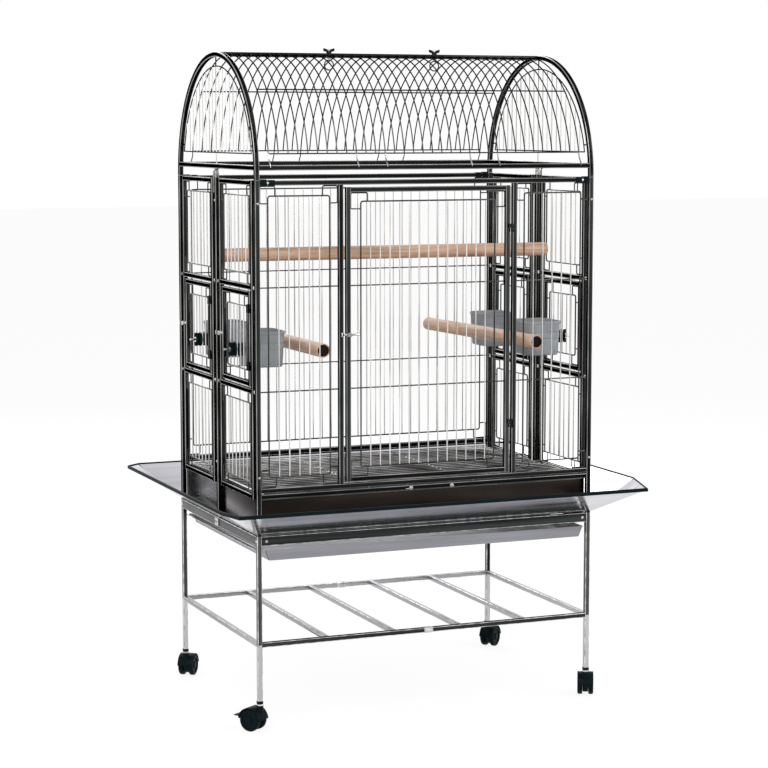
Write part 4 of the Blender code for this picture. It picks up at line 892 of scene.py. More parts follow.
class CAGE_OT_tray(bpy.types.Operator):
    """Builds the pull-out tray"""

    bl_idname = "cage.tray"
    bl_label = "Tray"

    def execute(self, context):
        sheet = context.scene.cage_sizes.sheet
        low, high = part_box("tray")
        top_x, bottom_x = 0.388, 0.378
        piece = Piece("tray_pan")
        size = Vector((2 * top_x, high.y - low.y, high.z - low.z))
        bm = cuboid(Vector((0, (low.y + high.y) / 2, (low.z + high.z) / 2)), size)
        for vert in bm.verts:
            if vert.co.z < (low.z + high.z) / 2:
                vert.co.x *= bottom_x / top_x
        rounded(bm, [e for e in bm.edges if abs(e.verts[0].co.z - e.verts[1].co.z) > 0.01], 0.006, 4)
        bm.normal_update()
        lid = [f for f in bm.faces if f.normal.z > 0.9]
        rim = bmesh.ops.inset_region(bm, faces=lid, thickness=sheet, use_even_offset=True)
        bm.normal_update()
        inner = [f for f in bm.faces if f.normal.z > 0.9 and f not in rim["faces"]]
        moved = verts_of(bmesh.ops.extrude_face_region(bm, geom=inner)["geom"])
        bmesh.ops.delete(bm, geom=inner, context="FACES_ONLY")
        for vert in moved:
            vert.co.z = low.z + sheet
            vert.co.x *= (bottom_x - sheet) / (top_x - sheet)
        bmesh.ops.recalc_face_normals(bm, faces=bm.faces)
        piece.add(bm, "tray_sheet")
        flange_top = high.z - 0.0022
        for side in (-1, 1):
            near, far = (side * top_x, FRONT_Y + 0.022), (side * high.x, high.y)
            piece.add(block((*near, flange_top - sheet), (*far, flange_top), 0.0003), "tray_sheet")
        lip_y, lip_z, lip_r = low.y + 0.0015, high.z - 0.0012, 0.0012
        piece.add(rod((-top_x, lip_y, lip_z), (top_x, lip_y, lip_z), lip_r, 10), "fitting")
        piece.done("tray", "tray_steel", "tray")
        return {"FINISHED"}


class CAGE_OT_grate(bpy.types.Operator):
    """Builds the pull-out grate with its front tube and clips"""

    bl_idname = "cage.grate"
    bl_label = "Grate"

    def execute(self, context):
        sizes = context.scene.cage_sizes
        radius = sizes.wire / 2
        low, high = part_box("grate")
        tube_z = low.z + sizes.tube / 2
        net_z = tube_z + 0.0005
        side_x, back = 0.382, high.y - 0.004
        piece = Piece("grate_net")
        add_bar(piece, (-END_X, FRONT_Y, tube_z), (END_X, FRONT_Y, tube_z))
        for y in spaced(FRONT_Y + 0.018, back, 0.0225):
            piece.add(rod((-side_x, y, net_z), (side_x, y, net_z), radius, sizes.sides), "grate_wire")
        low_z = net_z - radius
        for x in spaced(-side_x, side_x, 2 * side_x / 3):
            piece.add(rod((x, FRONT_Y, low_z), (x, back, low_z), radius, sizes.sides), "grate_wire")
        for side in (-1, 1):
            near, far = (side * 0.3785, FRONT_Y, net_z - 0.0018), (side * 0.3858, back, net_z + 0.0018)
            piece.add(block(near, far, 0.0005), "grate_wire")
        face = FRONT_Y - sizes.tube / 2
        stud, head = 0.006, 0.0085
        for x in (-0.047, 0.052):
            piece.add(rod((x, face, tube_z), (x, face - stud, tube_z), 0.0032, 16, 0.0006), "fitting")
            piece.add(rod((x, face - stud, tube_z), (x, face - head, tube_z), 0.0048, 18, 0.0008), "fitting")
        tail_y, tail_z = FRONT_Y - 0.0125, tube_z - 0.001
        piece.add(bent([(-0.047, tail_y, tail_z), (-0.060, tail_y, tail_z)], 0.0012, 0.002), "fitting")
        piece.done("grate", "wire_steel", "grate")
        return {"FINISHED"}


class CAGE_OT_apron(bpy.types.Operator):
    """Builds the dark sheet apron round the base"""

    bl_idname = "cage.apron"
    bl_label = "Base apron"

    def execute(self, context):
        sheet = context.scene.cage_sizes.sheet
        low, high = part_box("base_apron")
        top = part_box("grate")[0].z - 0.0015
        piece = Piece("base_apron_sheet")
        for y in (low.y, high.y - sheet):
            piece.add(block((low.x, y, low.z), (high.x, y + sheet, top), 0.0004), "apron_sheet")
            bead_y, bead_z, end = y + sheet / 2, top - 0.0006, 0.002
            bead = rod((low.x + end, bead_y, bead_z), (high.x - end, bead_y, bead_z), 0.0012, 10)
            piece.add(bead, "edge_highlight")
        for x in (low.x, high.x - sheet):
            wall = block((x, low.y + sheet, low.z), (x + sheet, high.y - sheet, top), 0.0004)
            piece.add(wall, "apron_sheet")
        near, far = low.y + 0.011, high.y - 0.011
        for side in (-1, 1):
            out = side * high.x
            piece.add(block((side * 0.374, near, high.z - sheet), (out, far, high.z)), "fitting")
            lip_x = side * (high.x - sheet)
            piece.add(block((lip_x, near, top - 0.003), (out, far, high.z)), "fitting")
        piece.done("cage", "apron_steel", "base_apron")
        return {"FINISHED"}


class CAGE_OT_guard(bpy.types.Operator):
    """Builds the four seed guard sheets and their black edging"""

    bl_idname = "cage.guard"
    bl_label = "Seed guard"

    def execute(self, context):
        low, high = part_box("seed_guard_edging")
        x, front, back = high.x - EDGING, low.y + EDGING, high.y - EDGING
        self.thick = context.scene.cage_sizes.sheet
        self.rim_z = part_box("seed_guard_front")[1].z
        self.root_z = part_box("seed_guard_front")[0].z + self.thick
        rim = {
            "front_left": [(-x, front + 0.070), (-x + 0.015, front)],
            "front_right": [(x - 0.047, front), (x, front + 0.148)],
            "back_right": [(x, back - 0.025), (x - 0.032, back)],
            "back_left": [(-x + 0.032, back), (-x, back - 0.025)],
        }
        half = context.scene.cage_sizes.tube / 2 + 0.0003
        step = 0.0006
        in_x = POST_X + half
        in_front, in_back = FRONT_Y - half, BACK_Y + half
        self.roots = {
            self.spot((side * in_x, y))
            for side in (-1, 1)
            for y in (in_front, in_back, in_front + step, in_back - step)
        }
        self.sheet("seed_guard_front", [
            [(-in_x, in_front), (in_x, in_front), rim["front_right"][0], rim["front_left"][1]],
            [(in_x, in_front), rim["front_right"][1], rim["front_right"][0]],
            [(-in_x, in_front), rim["front_left"][1], rim["front_left"][0]],
        ])
        self.sheet("seed_guard_back", [
            [(-in_x, in_back), (in_x, in_back), rim["back_right"][1], rim["back_left"][0]],
            [(in_x, in_back), rim["back_right"][0], rim["back_right"][1]],
            [(-in_x, in_back), rim["back_left"][0], rim["back_left"][1]],
        ])
        for name, root_x, near, far in (
            ("seed_guard_left", -in_x, rim["front_left"][0], rim["back_left"][1]),
            ("seed_guard_right", in_x, rim["front_right"][1], rim["back_right"][0]),
        ):
            self.sheet(name, [[
                (root_x, in_front + step), (near[0], near[1] + step), (far[0], far[1] - step),
                (root_x, in_back - step),
            ]])
        self.edging([corner_point for corner in rim.values() for corner_point in corner])
        return {"FINISHED"}

    def spot(self, place):
        """A place's name among the corners, the same for places within a hundredth of a millimetre."""
        return (round(place[0], 5), round(place[1], 5))

    def sheet(self, name, facets):
        """Flat facets that share edges: their roots at the cage lie low, the rim high."""
        bm = bmesh.new()
        made = {}
        for facet in facets:
            for place in facet:
                key = self.spot(place)
                if key not in made:
                    made[key] = bm.verts.new((*place, self.root_z if key in self.roots else self.rim_z))
            bm.faces.new([made[self.spot(place)] for place in facet])
        bmesh.ops.recalc_face_normals(bm, faces=bm.faces)
        bm.normal_update()
        if bm.faces[:][0].normal.z < 0:
            bmesh.ops.reverse_faces(bm, faces=bm.faces)
        grown = bmesh.ops.extrude_face_region(bm, geom=bm.faces[:], use_keep_orig=True)
        bmesh.ops.translate(bm, vec=(0, 0, -self.thick), verts=verts_of(grown["geom"]))
        bmesh.ops.recalc_face_normals(bm, faces=bm.faces)
        piece = Piece(f"{name}_sheet")
        piece.add(bm, "guard_sheet")
        piece.done("cage", "guard_steel", name, sharp=5)

    def edging(self, ring):
        """The rim's black edging: a bead bridged from outlines of the rim."""
        low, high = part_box("seed_guard_edging")
        inner = 0.0003
        section = (
            (inner, low.z), (inner, high.z), (0.0012, high.z), (0.0030, high.z - 0.0012),
            (EDGING, high.z - 0.0030), (EDGING, low.z + 0.0025), (0.0024, low.z),
        )
        bm = bmesh.new()
        loops = [self.outline(bm, ring, out, z) for out, z in section]
        for loop, following in zip(loops, loops[1:] + loops[:1]):
            bmesh.ops.bridge_loops(bm, edges=loop + following)
        bmesh.ops.recalc_face_normals(bm, faces=bm.faces)
        piece = Piece("seed_guard_edging_bead")
        piece.add(bm, "black_plastic")
        piece.done("cage", "black_plastic", "seed_guard_edging")

    def outline(self, bm, ring, out, z):
        """The rim's outline moved outwards and set at a height, as a closed row of edges."""
        count = len(ring)
        verts = []
        for k, place in enumerate(ring):
            here = Vector(place)
            before = (here - Vector(ring[k - 1])).normalized()
            after = (Vector(ring[(k + 1) % count]) - here).normalized()
            side = Vector((before.y, -before.x))
            mid = (side + Vector((after.y, -after.x))).normalized()
            moved = here + mid * (out / mid.dot(side))
            verts.append(bm.verts.new((moved.x, moved.y, z)))
        return [bm.edges.new((verts[k - 1], verts[k])) for k in range(count)]


class CAGE_OT_front_panel(bpy.types.Operator):
    """Builds the front panel with its two side nets, hinges and keeper"""

    bl_idname = "cage.front_panel"
    bl_label = "Front panel"

    def execute(self, context):
        sizes = context.scene.cage_sizes
        half = sizes.tube / 2
        point = on_plane("front", FRONT_Y)
        piece = Piece("front_panel_frame")
        top = BODY_TOP_Z - half
        for x in (-POST_X, POST_X):
            add_bar(piece, point(x, POST_FOOT_Z), point(x, BODY_TOP_Z))
        for x in (-STILE_X, STILE_X):
            add_bar(piece, point(x, PANEL_RAIL_Z + half), point(x, top - half))
        for z in (PANEL_RAIL_Z, top):
            add_bar(piece, point(-POST_X + half, z), point(POST_X - half, z))
        crossings = (sizes.low_wire, sizes.high_wire)
        for side in (-1, 1):
            left, right = sorted((side * (POST_X - half), side * (STILE_X + half)))
            opening = (left, right, PANEL_RAIL_Z + half, top - half)
            add_grid(piece, point, opening, 0.0195, 0.0225, crossings, CROSS_OUT)
        face = FRONT_Y - half
        for z in DOOR_HINGES:
            leaf_to = (STILE_X, face + HINGE_LEAF_SUNK)
            add_hinge_half(piece, (HINGE_X, face - HINGE_OUT), z, leaf_to, pin=True)
        add_keeper(piece, (KEEPER_X, face - BOLT_OUT, DOOR_BOLT_Z), (0, -1, 0))
        for x in (-POST_X, POST_X):
            for z in reversed(SCREW_HEIGHTS):
                add_screw(piece, point(x, z, -half), (0, -1, 0), SMALL_SCREW)
            add_corner_clamp(piece, (x, FRONT_Y), -1 if x > 0 else 1, -1, top)
        piece.done("cage", "polished_steel", "front_panel")
        return {"FINISHED"}


class CAGE_OT_door(bpy.types.Operator):
    """Builds the front door and its sliding latch"""

    bl_idname = "cage.door"
    bl_label = "Door"

    def execute(self, context):
        sizes = context.scene.cage_sizes
        half = sizes.tube / 2
        point = on_plane("front", FRONT_Y)
        face = FRONT_Y - half
        bolt_y = face - BOLT_OUT
        piece = Piece("door_frame")
        add_frame(piece, point, -DOOR_STILE_X, DOOR_STILE_X, DOOR_LOW_Z, DOOR_TOP_Z)
        opening = (-DOOR_STILE_X + half, DOOR_STILE_X - half, DOOR_LOW_Z + half, DOOR_TOP_Z - half)
        crossings = (sizes.low_wire, sizes.high_wire)
        add_grid(piece, point, opening, 0.025, 0.020, crossings, CROSS_OUT)
        for z in DOOR_HINGES:
            leaf_to = (DOOR_STILE_X, face + HINGE_LEAF_SUNK)
            add_hinge_half(piece, (HINGE_X, face - HINGE_OUT), z + HINGE_HIGH + HINGE_GAP, leaf_to)
        add_collar(piece, (-DOOR_STILE_X, bolt_y, DOOR_BOLT_Z), (0, -1, 0))
        piece.done("door", "polished_steel", "door")
        self.bolt(bolt_y)
        return {"FINISHED"}

    def bolt(self, y):
        """A sliding bolt whose end bends up to a ball."""
        low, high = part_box("door_latch_bolt")
        z = low.z + 0.0025
        bolt = Piece("door_latch_bolt_rod")
        bolt.add(rod((low.x, y, z), (high.x, y, z), BOLT_R, 16, 0.0006), "fitting")
        grip_x = high.x - 0.0025
        bolt.add(bent([(grip_x, y, z), (grip_x, y, high.z - 0.001)], 0.0022, 0.002, 12), "fitting")
        ball = bmesh.new()
        bmesh.ops.create_uvsphere(ball, u_segments=20, v_segments=12, radius=0.0036)
        bmesh.ops.translate(ball, vec=(high.x - 0.0026, y, high.z - 0.0032), verts=ball.verts)
        bolt.add(ball, "fitting")
        bolt.done("door_latch", "polished_steel", "door_latch_bolt")


class CAGE_OT_back_panel(bpy.types.Operator):
    """Builds the back panel and its net"""

    bl_idname = "cage.back_panel"
    bl_label = "Back panel"

    def execute(self, context):
        sizes = context.scene.cage_sizes
        half = sizes.tube / 2
        point = on_plane("front", BACK_Y)
        top = BODY_TOP_Z - half
        piece = Piece("back_panel_frame")
        for x in (-POST_X, POST_X):
            add_bar(piece, point(x, POST_FOOT_Z), point(x, BODY_TOP_Z))
        for z in (PANEL_RAIL_Z, top):
            add_bar(piece, point(-POST_X + half, z), point(POST_X - half, z))
        opening = (-POST_X + half, POST_X - half, PANEL_RAIL_Z + half, top - half)
        crossings = (sizes.low_wire, sizes.high_wire)
        add_grid(piece, point, opening, 0.0195, 0.0225, crossings, -CROSS_OUT)
        for x in (-POST_X, POST_X):
            add_corner_clamp(piece, (x, BACK_Y), -1 if x > 0 else 1, 1, top)
        piece.done("cage", "polished_steel", "back_panel")
        return {"FINISHED"}


def side_plan(end):
    """Places along a side: a half frame's near and far posts, then its hinge post and latch post."""
    near, far = MID_Y + end * 0.0265, MID_Y + end * 0.2405
    return (near, far, far, near) if end < 0 else (near, far, near, far)


class CAGE_OT_sides(bpy.types.Operator):
    """Builds the centre posts and the four half frames of the sides"""

    bl_idname = "cage.sides"
    bl_label = "Sides"

    def execute(self, context):
        half = context.scene.cage_sizes.tube / 2
        for side, name in SIDES:
            x = side * POST_X
            post = Piece(f"centre_post_{name}_tube")
            add_bar(post, (x, MID_Y, POST_FOOT_Z), (x, MID_Y, BODY_TOP_Z))
            for z in SCREW_HEIGHTS:
                add_screw(post, (x + side * half, MID_Y, z), (side, 0, 0), SMALL_SCREW)
            clip_x, clip_y = x + side * (half + 0.0020), MID_Y - 0.002
            rail_low = RAIL_Z - half
            clip = [
                (clip_x, clip_y, BODY_TOP_Z - 0.032), (clip_x, clip_y, rail_low - 0.006),
                (clip_x, clip_y - 0.016, rail_low - 0.002),
            ]
            post.add(bent(clip, 0.0021, 0.005, 12), "grate_wire")
            post.done("cage", "polished_steel", f"centre_post_{name}")
            for end, end_name in ENDS:
                self.half_frame(context.scene.cage_sizes, side, end, f"{end_name}_{name}")
        return {"FINISHED"}

    def half_frame(self, sizes, side, end, name):
        """A frame with an upper and a lower net, a window for a feeder door, and couplings."""
        half = sizes.tube / 2
        near, far, hinge_post, latch_post = side_plan(end)
        x, out = side * POST_X, (side, 0, 0)
        point = on_plane("side", x)
        rails = (SIDE_RAIL_Z, sizes.low_wire, sizes.high_wire, BODY_TOP_Z - half)
        low_y, high_y = sorted((near, far))
        piece = Piece(f"half_frame_{name}_frame")
        for y in (low_y, high_y):
            add_bar(piece, point(y, rails[0] - half), point(y, BODY_TOP_Z))
        for z in rails:
            add_bar(piece, point(low_y + half, z), point(high_y - half, z))
        for low_z, high_z in (rails[:2], rails[2:]):
            opening = (low_y + half, high_y - half, low_z + half, high_z - half)
            add_grid(piece, point, opening, 0.016, 0.0225)
        post_y = FRONT_Y if end < 0 else BACK_Y
        gaps = ((MID_Y + end * half, near - end * half), (far + end * half, post_y - end * half))
        thick, high, clear = 0.0034, 0.004, 0.0003
        for z in (sizes.low_wire, sizes.high_wire):
            for gap in gaps:
                start, stop = sorted(gap)
                coupling = block(
                    (x - thick, start + clear, z - high), (x + thick, stop - clear, z + high), 0.001
                )
                piece.add(coupling, "fitting")
                add_screw(piece, (x + side * thick, (start + stop) / 2, z), out, COUPLING_SCREW)
        face = POST_X + half
        hinge = (side * (face + HINGE_OUT), hinge_post + half + HINGE_ASIDE)
        for z in FEEDER_HINGES:
            add_hinge_half(piece, hinge, z, (side * (face - HINGE_LEAF_SUNK), hinge_post), pin=True)
        add_keeper(piece, (side * (face + BOLT_OUT), latch_post, FEEDER_BOLT_Z), out)
        piece.done("cage", "polished_steel", f"half_frame_{name}")


class CAGE_OT_feeder_doors(bpy.types.Operator):
    """Builds the four feeder doors and their latches"""

    bl_idname = "cage.feeder_doors"
    bl_label = "Feeder doors"

    def execute(self, context):
        sizes = context.scene.cage_sizes
        half = sizes.tube / 2
        for side, side_name in SIDES:
            for end, end_name in ENDS:
                self.feeder_door(sizes, half, side, end, f"{end_name}_{side_name}")
        return {"FINISHED"}

    def feeder_door(self, sizes, half, side, end, name):
        """A small framed net with its hinge halves, its bolt's collar and the bolt."""
        hinge_post, latch_post = side_plan(end)[2:]
        point = on_plane("side", side * POST_X)
        face, side_gap, end_gap = POST_X + half, 0.005, 0.004
        start, stop = hinge_post + half + side_gap, latch_post - half - side_gap
        low, high = sizes.low_wire + half + end_gap, sizes.high_wire - half - end_gap
        piece = Piece(f"feeder_door_{name}_frame")
        add_frame(piece, point, start + half, stop - half, low + half, high - half)
        opening = (start + sizes.tube, stop - sizes.tube, low + sizes.tube, high - sizes.tube)
        add_grid(piece, point, opening, 0.020, 0.0225)
        hinge = (side * (face + HINGE_OUT), hinge_post + half + HINGE_ASIDE)
        for z in FEEDER_HINGES:
            leaf_to = (side * (face - HINGE_LEAF_SUNK), start + half)
            add_hinge_half(piece, hinge, z + HINGE_HIGH + HINGE_GAP, leaf_to)
        bolt_x = side * (face + BOLT_OUT)
        add_collar(piece, (bolt_x, stop - half, FEEDER_BOLT_Z), (side, 0, 0))
        piece.done(f"feeder_{name}", "polished_steel", f"feeder_door_{name}")
        corner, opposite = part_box(f"feeder_latch_{name}")
        z = corner.z + 0.0025
        grip_y, grip_x = corner.y + 0.0025, opposite.x if side > 0 else corner.x
        bolt = Piece(f"feeder_latch_{name}_rod")
        bolt.add(rod((bolt_x, corner.y, z), (bolt_x, opposite.y, z), BOLT_R, 14, 0.0006), "fitting")
        bolt.add(rod((bolt_x, grip_y, z), (grip_x, grip_y, z), 0.0022, 12, 0.0008), "fitting")
        bolt.done(f"latch_{name}", "polished_steel", f"feeder_latch_{name}")


# A cup's outline from its foot up to its rim and down inside, as height and share of its width
CUP_RINGS = (
    (0.0, 0.86), (0.0022, 0.895), (0.035, 0.935), (0.0365, 0.925), (0.0385, 0.925),
    (0.040, 0.945), (0.050, 0.955), (0.0515, 0.943), (0.0535, 0.943), (0.055, 0.965),
    (0.0725, 0.975), (0.0735, 1.0), (0.0785, 1.0), (0.079, 0.994), (0.079, 0.955),
    (0.0775, 0.945), (0.030, 0.900), (0.0045, 0.870), (0.0025, 0.82),
)


class CAGE_OT_cups(bpy.types.Operator):
    """Builds the four feeder cups and the clamps that hold them"""

    bl_idname = "cage.cups"
    bl_label = "Feeder cups"

    def execute(self, context):
        for side, side_name in SIDES:
            for _, end_name in ENDS:
                name = f"{end_name}_{side_name}"
                self.cup(side, name)
                self.clamp(side, name)
        return {"FINISHED"}

    def cup(self, side, name):
        """A rounded bowl grown ring by ring, and the tongue that hangs in the clamp."""
        low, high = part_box(f"feeder_cup_{name}")
        back = side * 0.384
        front = low.x if side > 0 else high.x
        centre = Vector(((back + front) / 2, (low.y + high.y) / 2, low.z))
        bm = bmesh.new()
        bmesh.ops.create_grid(bm, x_segments=1, y_segments=1, size=0.5)
        bmesh.ops.scale(bm, vec=(abs(back - front), high.y - low.y, 1), verts=bm.verts)
        bmesh.ops.bevel(
            bm, geom=bm.verts[:], offset=0.020, segments=7, profile=0.5, affect="VERTICES", material=-1
        )
        bmesh.ops.translate(bm, vec=centre, verts=bm.verts)
        face = bm.faces[:][0]
        if face.normal.z > 0:
            bmesh.ops.reverse_faces(bm, faces=[face])
        ring = bm.edges[:]
        foot = CUP_RINGS[0][1]
        self.widen(bm.verts, centre, foot)
        previous = foot
        for height, scale in CUP_RINGS[1:]:
            grown = bmesh.ops.extrude_edge_only(bm, edges=ring)["geom"]
            moved = verts_of(grown)
            ring = [e for e in edges_of(grown) if all(v in moved for v in e.verts)]
            self.widen(moved, centre, scale / previous)
            for vert in moved:
                vert.co.z = centre.z + height
            previous = scale
        piece = Piece(f"feeder_cup_{name}_bowl")
        piece.add(closed(bm, ring), "cup_plastic")
        y, half_wide = middle(f"cup_clamp_{name}").y, 0.010
        for inner, low_z, high_z in ((0.381, 0.8409, 0.8434), (0.3912, 0.8160, 0.8425)):
            near, far = (side * inner, y - half_wide, low_z), (side * 0.3945, y + half_wide, high_z)
            piece.add(block(near, far, 0.0006), "cup_plastic")
        piece.done(f"cup_{name}", "cup_plastic", f"feeder_cup_{name}", sharp=30)

    def widen(self, verts, centre, scale):
        """Scales points across about the cup's middle."""
        for vert in verts:
            vert.co.x = centre.x + (vert.co.x - centre.x) * scale
            vert.co.y = centre.y + (vert.co.y - centre.y) * scale

    def clamp(self, side, name):
        """A slotted clamp that takes the cup's tongue, with its bolt and wing knob."""
        y = middle(f"cup_clamp_{name}").y
        low_z, high_z, floor_z = 0.813, 0.8405, 0.8154
        half_wide, slot_half = 0.015, 0.0104
        lip, slot_in, slot_out, back = (side * x for x in (0.3884, 0.3909, 0.395, 0.3975))
        piece = Piece(f"cup_clamp_{name}_set")
        for x_start, x_stop, start, stop, top in (
            (lip, slot_in, -half_wide, half_wide, high_z),
            (slot_out, back, -half_wide, half_wide, high_z),
            (slot_in, slot_out, -half_wide, -slot_half, high_z),
            (slot_in, slot_out, slot_half, half_wide, high_z),
            (lip, back, -half_wide, half_wide, floor_z),
        ):
            wall = block((x_start, y + start, low_z), (x_stop, y + stop, top), 0.0005)
            piece.add(wall, "black_plastic")
        z = (low_z + high_z) / 2
        knob_in, knob_out, hub_out, bolt_out = (side * x for x in (0.4018, 0.4048, 0.4120, 0.4278))
        piece.add(rod((back, y, z), (bolt_out, y, z), 0.0028, 16, 0.0008), "fitting")
        piece.add(rod((knob_in, y, z), (knob_out, y, z), 0.0160, 32, 0.0009), "black_plastic")
        piece.add(rod((knob_out, y, z), (hub_out, y, z), 0.0062, 20, 0.0010), "black_plastic")
        for way in (-1, 1):
            wing = block((-0.007, -0.003, -0.0052), (0.007, 0.003, 0.0052), 0.0024, 4)
            place = Matrix.Translation((side * 0.4098, y, z + way * 0.0095))
            turn = Matrix.Rotation(side * way * math.radians(-14), 4, "Y")
            bmesh.ops.transform(wing, matrix=place @ turn, verts=wing.verts)
            piece.add(wing, "black_plastic")
        piece.done(f"feeder_{name}", "black_plastic", f"cup_clamp_{name}")


class CAGE_OT_dome_ends(bpy.types.Operator):
    """Builds the two arched ends of the dome"""

    bl_idname = "cage.dome_ends"
    bl_label = "Dome ends"

    def execute(self, context):
        sizes = context.scene.cage_sizes
        for side, name in SIDES:
            piece = Piece(f"dome_end_{name}_frame")
            self.frame(piece, side, sizes)
            self.net(piece, side * POST_X, sizes)
            piece.done("cage", "polished_steel", f"dome_end_{name}")
        return {"FINISHED"}

    def frame(self, piece, side, sizes):
        """The arch, its feet, its rail, and the plate that joins the rail to the centre post."""
        half, x = sizes.tube / 2, side * POST_X
        foot_z = BODY_TOP_Z + 0.0005
        self.arch(piece, x, sizes)
        for end in (-1, 1):
            y = MID_Y + end * DOME_R
            add_bar(piece, (x, y, foot_z), (x, y, DOME_Z + 0.0005))
        reach = DOME_R - half
        add_bar(piece, (x, MID_Y - reach, RAIL_Z), (x, MID_Y + reach, RAIL_Z))
        thick, wide = 0.003, 0.009
        plate = block(
            (x - thick, MID_Y - wide, BODY_TOP_Z), (x + thick, MID_Y + wide, RAIL_Z - half + 0.002), 0.0008
        )
        piece.add(plate, "fitting")
        add_screw(piece, (x + side * thick, MID_Y, BODY_TOP_Z + 0.0095), (side, 0, 0), SMALL_SCREW)

    def net(self, piece, x, sizes):
        """A wire arc closed by a straight wire, with uprights and short wires to the arch."""
        half, radius, sides = sizes.tube / 2, sizes.wire / 2, sizes.sides
        rise = LOOP_Z - DOME_Z
        low_angle = math.asin(rise / LOOP_R)
        reach = math.sqrt(LOOP_R**2 - rise**2)
        arc = swept(
            (x, MID_Y, DOME_Z), (1, 0, 0), Vector((x, MID_Y + reach, LOOP_Z)),
            (0, -math.sin(low_angle), math.cos(low_angle)), radius, math.pi - 2 * low_angle, sides, 40,
        )
        # The arc takes the dark wire copy and the uprights the bright one: painted shade and painted light.
        piece.add(arc, "dome_wire")
        straight = rod((x, MID_Y - reach, LOOP_Z), (x, MID_Y + reach, LOOP_Z), radius, sides)
        piece.add(straight, "dome_wire")
        for y in spaced(-reach, reach, sizes.pitch)[1:-1]:
            top = DOME_Z + math.sqrt(LOOP_R**2 - y * y)
            piece.add(rod((x, MID_Y + y, LOOP_Z), (x, MID_Y + y, top), radius, sides), "wire_upright")
        piece.add(rod((x, MID_Y, RAIL_Z + half), (x, MID_Y, LOOP_Z), radius, sides), "wire_upright")
        z = LOOP_Z + sizes.ear
        inner = math.sqrt(LOOP_R**2 - (z - DOME_Z) ** 2)
        outer = math.sqrt((DOME_R - half + 0.002) ** 2 - (z - DOME_Z) ** 2)
        for end in (-1, 1):
            ear = rod((x, MID_Y + end * inner, z), (x, MID_Y + end * outer, z), radius, sides)
            piece.add(ear, "dome_wire")
        top = (x, MID_Y, DOME_Z + DOME_R - half + 0.001)
        piece.add(rod((x, MID_Y, DOME_Z + LOOP_R), top, radius, sides), "dome_wire")

    def arch(self, piece, x, sizes):
        """A square tube spun over half a turn."""
        centre = Vector((x, MID_Y, DOME_Z))
        bm = bmesh.new()
        bmesh.ops.create_grid(bm, x_segments=1, y_segments=1, size=sizes.tube / 2)
        bmesh.ops.bevel(
            bm, geom=bm.verts[:], offset=sizes.tube_corner, segments=3, profile=0.5,
            affect="VERTICES", material=-1,
        )
        bmesh.ops.translate(bm, vec=centre + Vector((0, DOME_R, 0)), verts=bm.verts)
        closed(bm, spun(bm, bm.edges[:], centre, (1, 0, 0), math.pi, 64))
        bm.normal_update()
        # The arch's rounded edges take the bright edge finish, a painted highlight.
        flat, edge = piece.index("frame_cross"), piece.index("edge_highlight")
        for face in bm.faces:
            out = face.calc_center_median() - centre
            out.x = 0
            straight = max(abs(face.normal.x), abs(face.normal.dot(out.normalized()))) > STRAIGHT
            face.material_index = flat if straight else edge
        piece.join(bm)


class CAGE_OT_dome_screen(bpy.types.Operator):
    """Builds the dome's bent wires, rails and ridge bar"""

    bl_idname = "cage.dome_screen"
    bl_label = "Dome screen"

    def execute(self, context):
        sizes = context.scene.cage_sizes
        half, radius, sides = sizes.tube / 2, sizes.wire / 2, sizes.sides
        piece = Piece("dome_screen_net")
        for end in (-1, 1):
            y = MID_Y + end * DOME_R
            add_bar(piece, (-END_X, y, RAIL_Z), (END_X, y, RAIL_Z))
        ridge_z = DOME_Z + DOME_R
        ridge = block(
            (-END_X, MID_Y - RIDGE_WIDE / 2, ridge_z - RIDGE_HIGH / 2),
            (END_X, MID_Y + RIDGE_WIDE / 2, ridge_z + RIDGE_HIGH / 2), 0.0012, 3,
        )
        piece.add(ridge, "frame_cross")
        count, pitch = 34, 0.0225
        wires = [(k - (count - 1) / 2) * pitch for k in range(count)]
        low_angle = math.asin((LOOP_Z - DOME_Z) / DOME_R)
        net_y = DOME_R * math.cos(low_angle)
        way = (0, -math.sin(low_angle), math.cos(low_angle))
        for k, x in enumerate(wires):
            start, angle = Vector((x, MID_Y + net_y, LOOP_Z)), math.pi - 2 * low_angle
            arc = swept((x, MID_Y, DOME_Z), (1, 0, 0), start, way, radius, angle, sides, 40)
            piece.add(arc, "dome_wire")
            if k not in (0, 9, 12, 21, 24, 33):
                continue
            for end in (-1, 1):
                face_y = MID_Y + end * (DOME_R + half + radius)
                tie = [
                    (x, MID_Y + end * net_y, LOOP_Z), (x, MID_Y + end * (net_y + 0.003), LOOP_Z - 0.012),
                    (x, face_y, RAIL_Z + half + 0.001), (x, face_y, RAIL_Z + 0.001),
                ]
                piece.add(bent(tie, radius, 0.006, sides, 2), "grate_wire")
        for angle, inward in ((low_angle, 0.0), (math.radians(45), CROSS_OUT)):
            for end in (-1, 1):
                y = MID_Y + end * (DOME_R - inward) * math.cos(angle)
                z = DOME_Z + (DOME_R - inward) * math.sin(angle)
                piece.add(rod((wires[0], y, z), (wires[-1], y, z), radius, sides), "dome_wire")
        piece.done("cage", "wire_steel", "dome_screen")
        return {"FINISHED"}


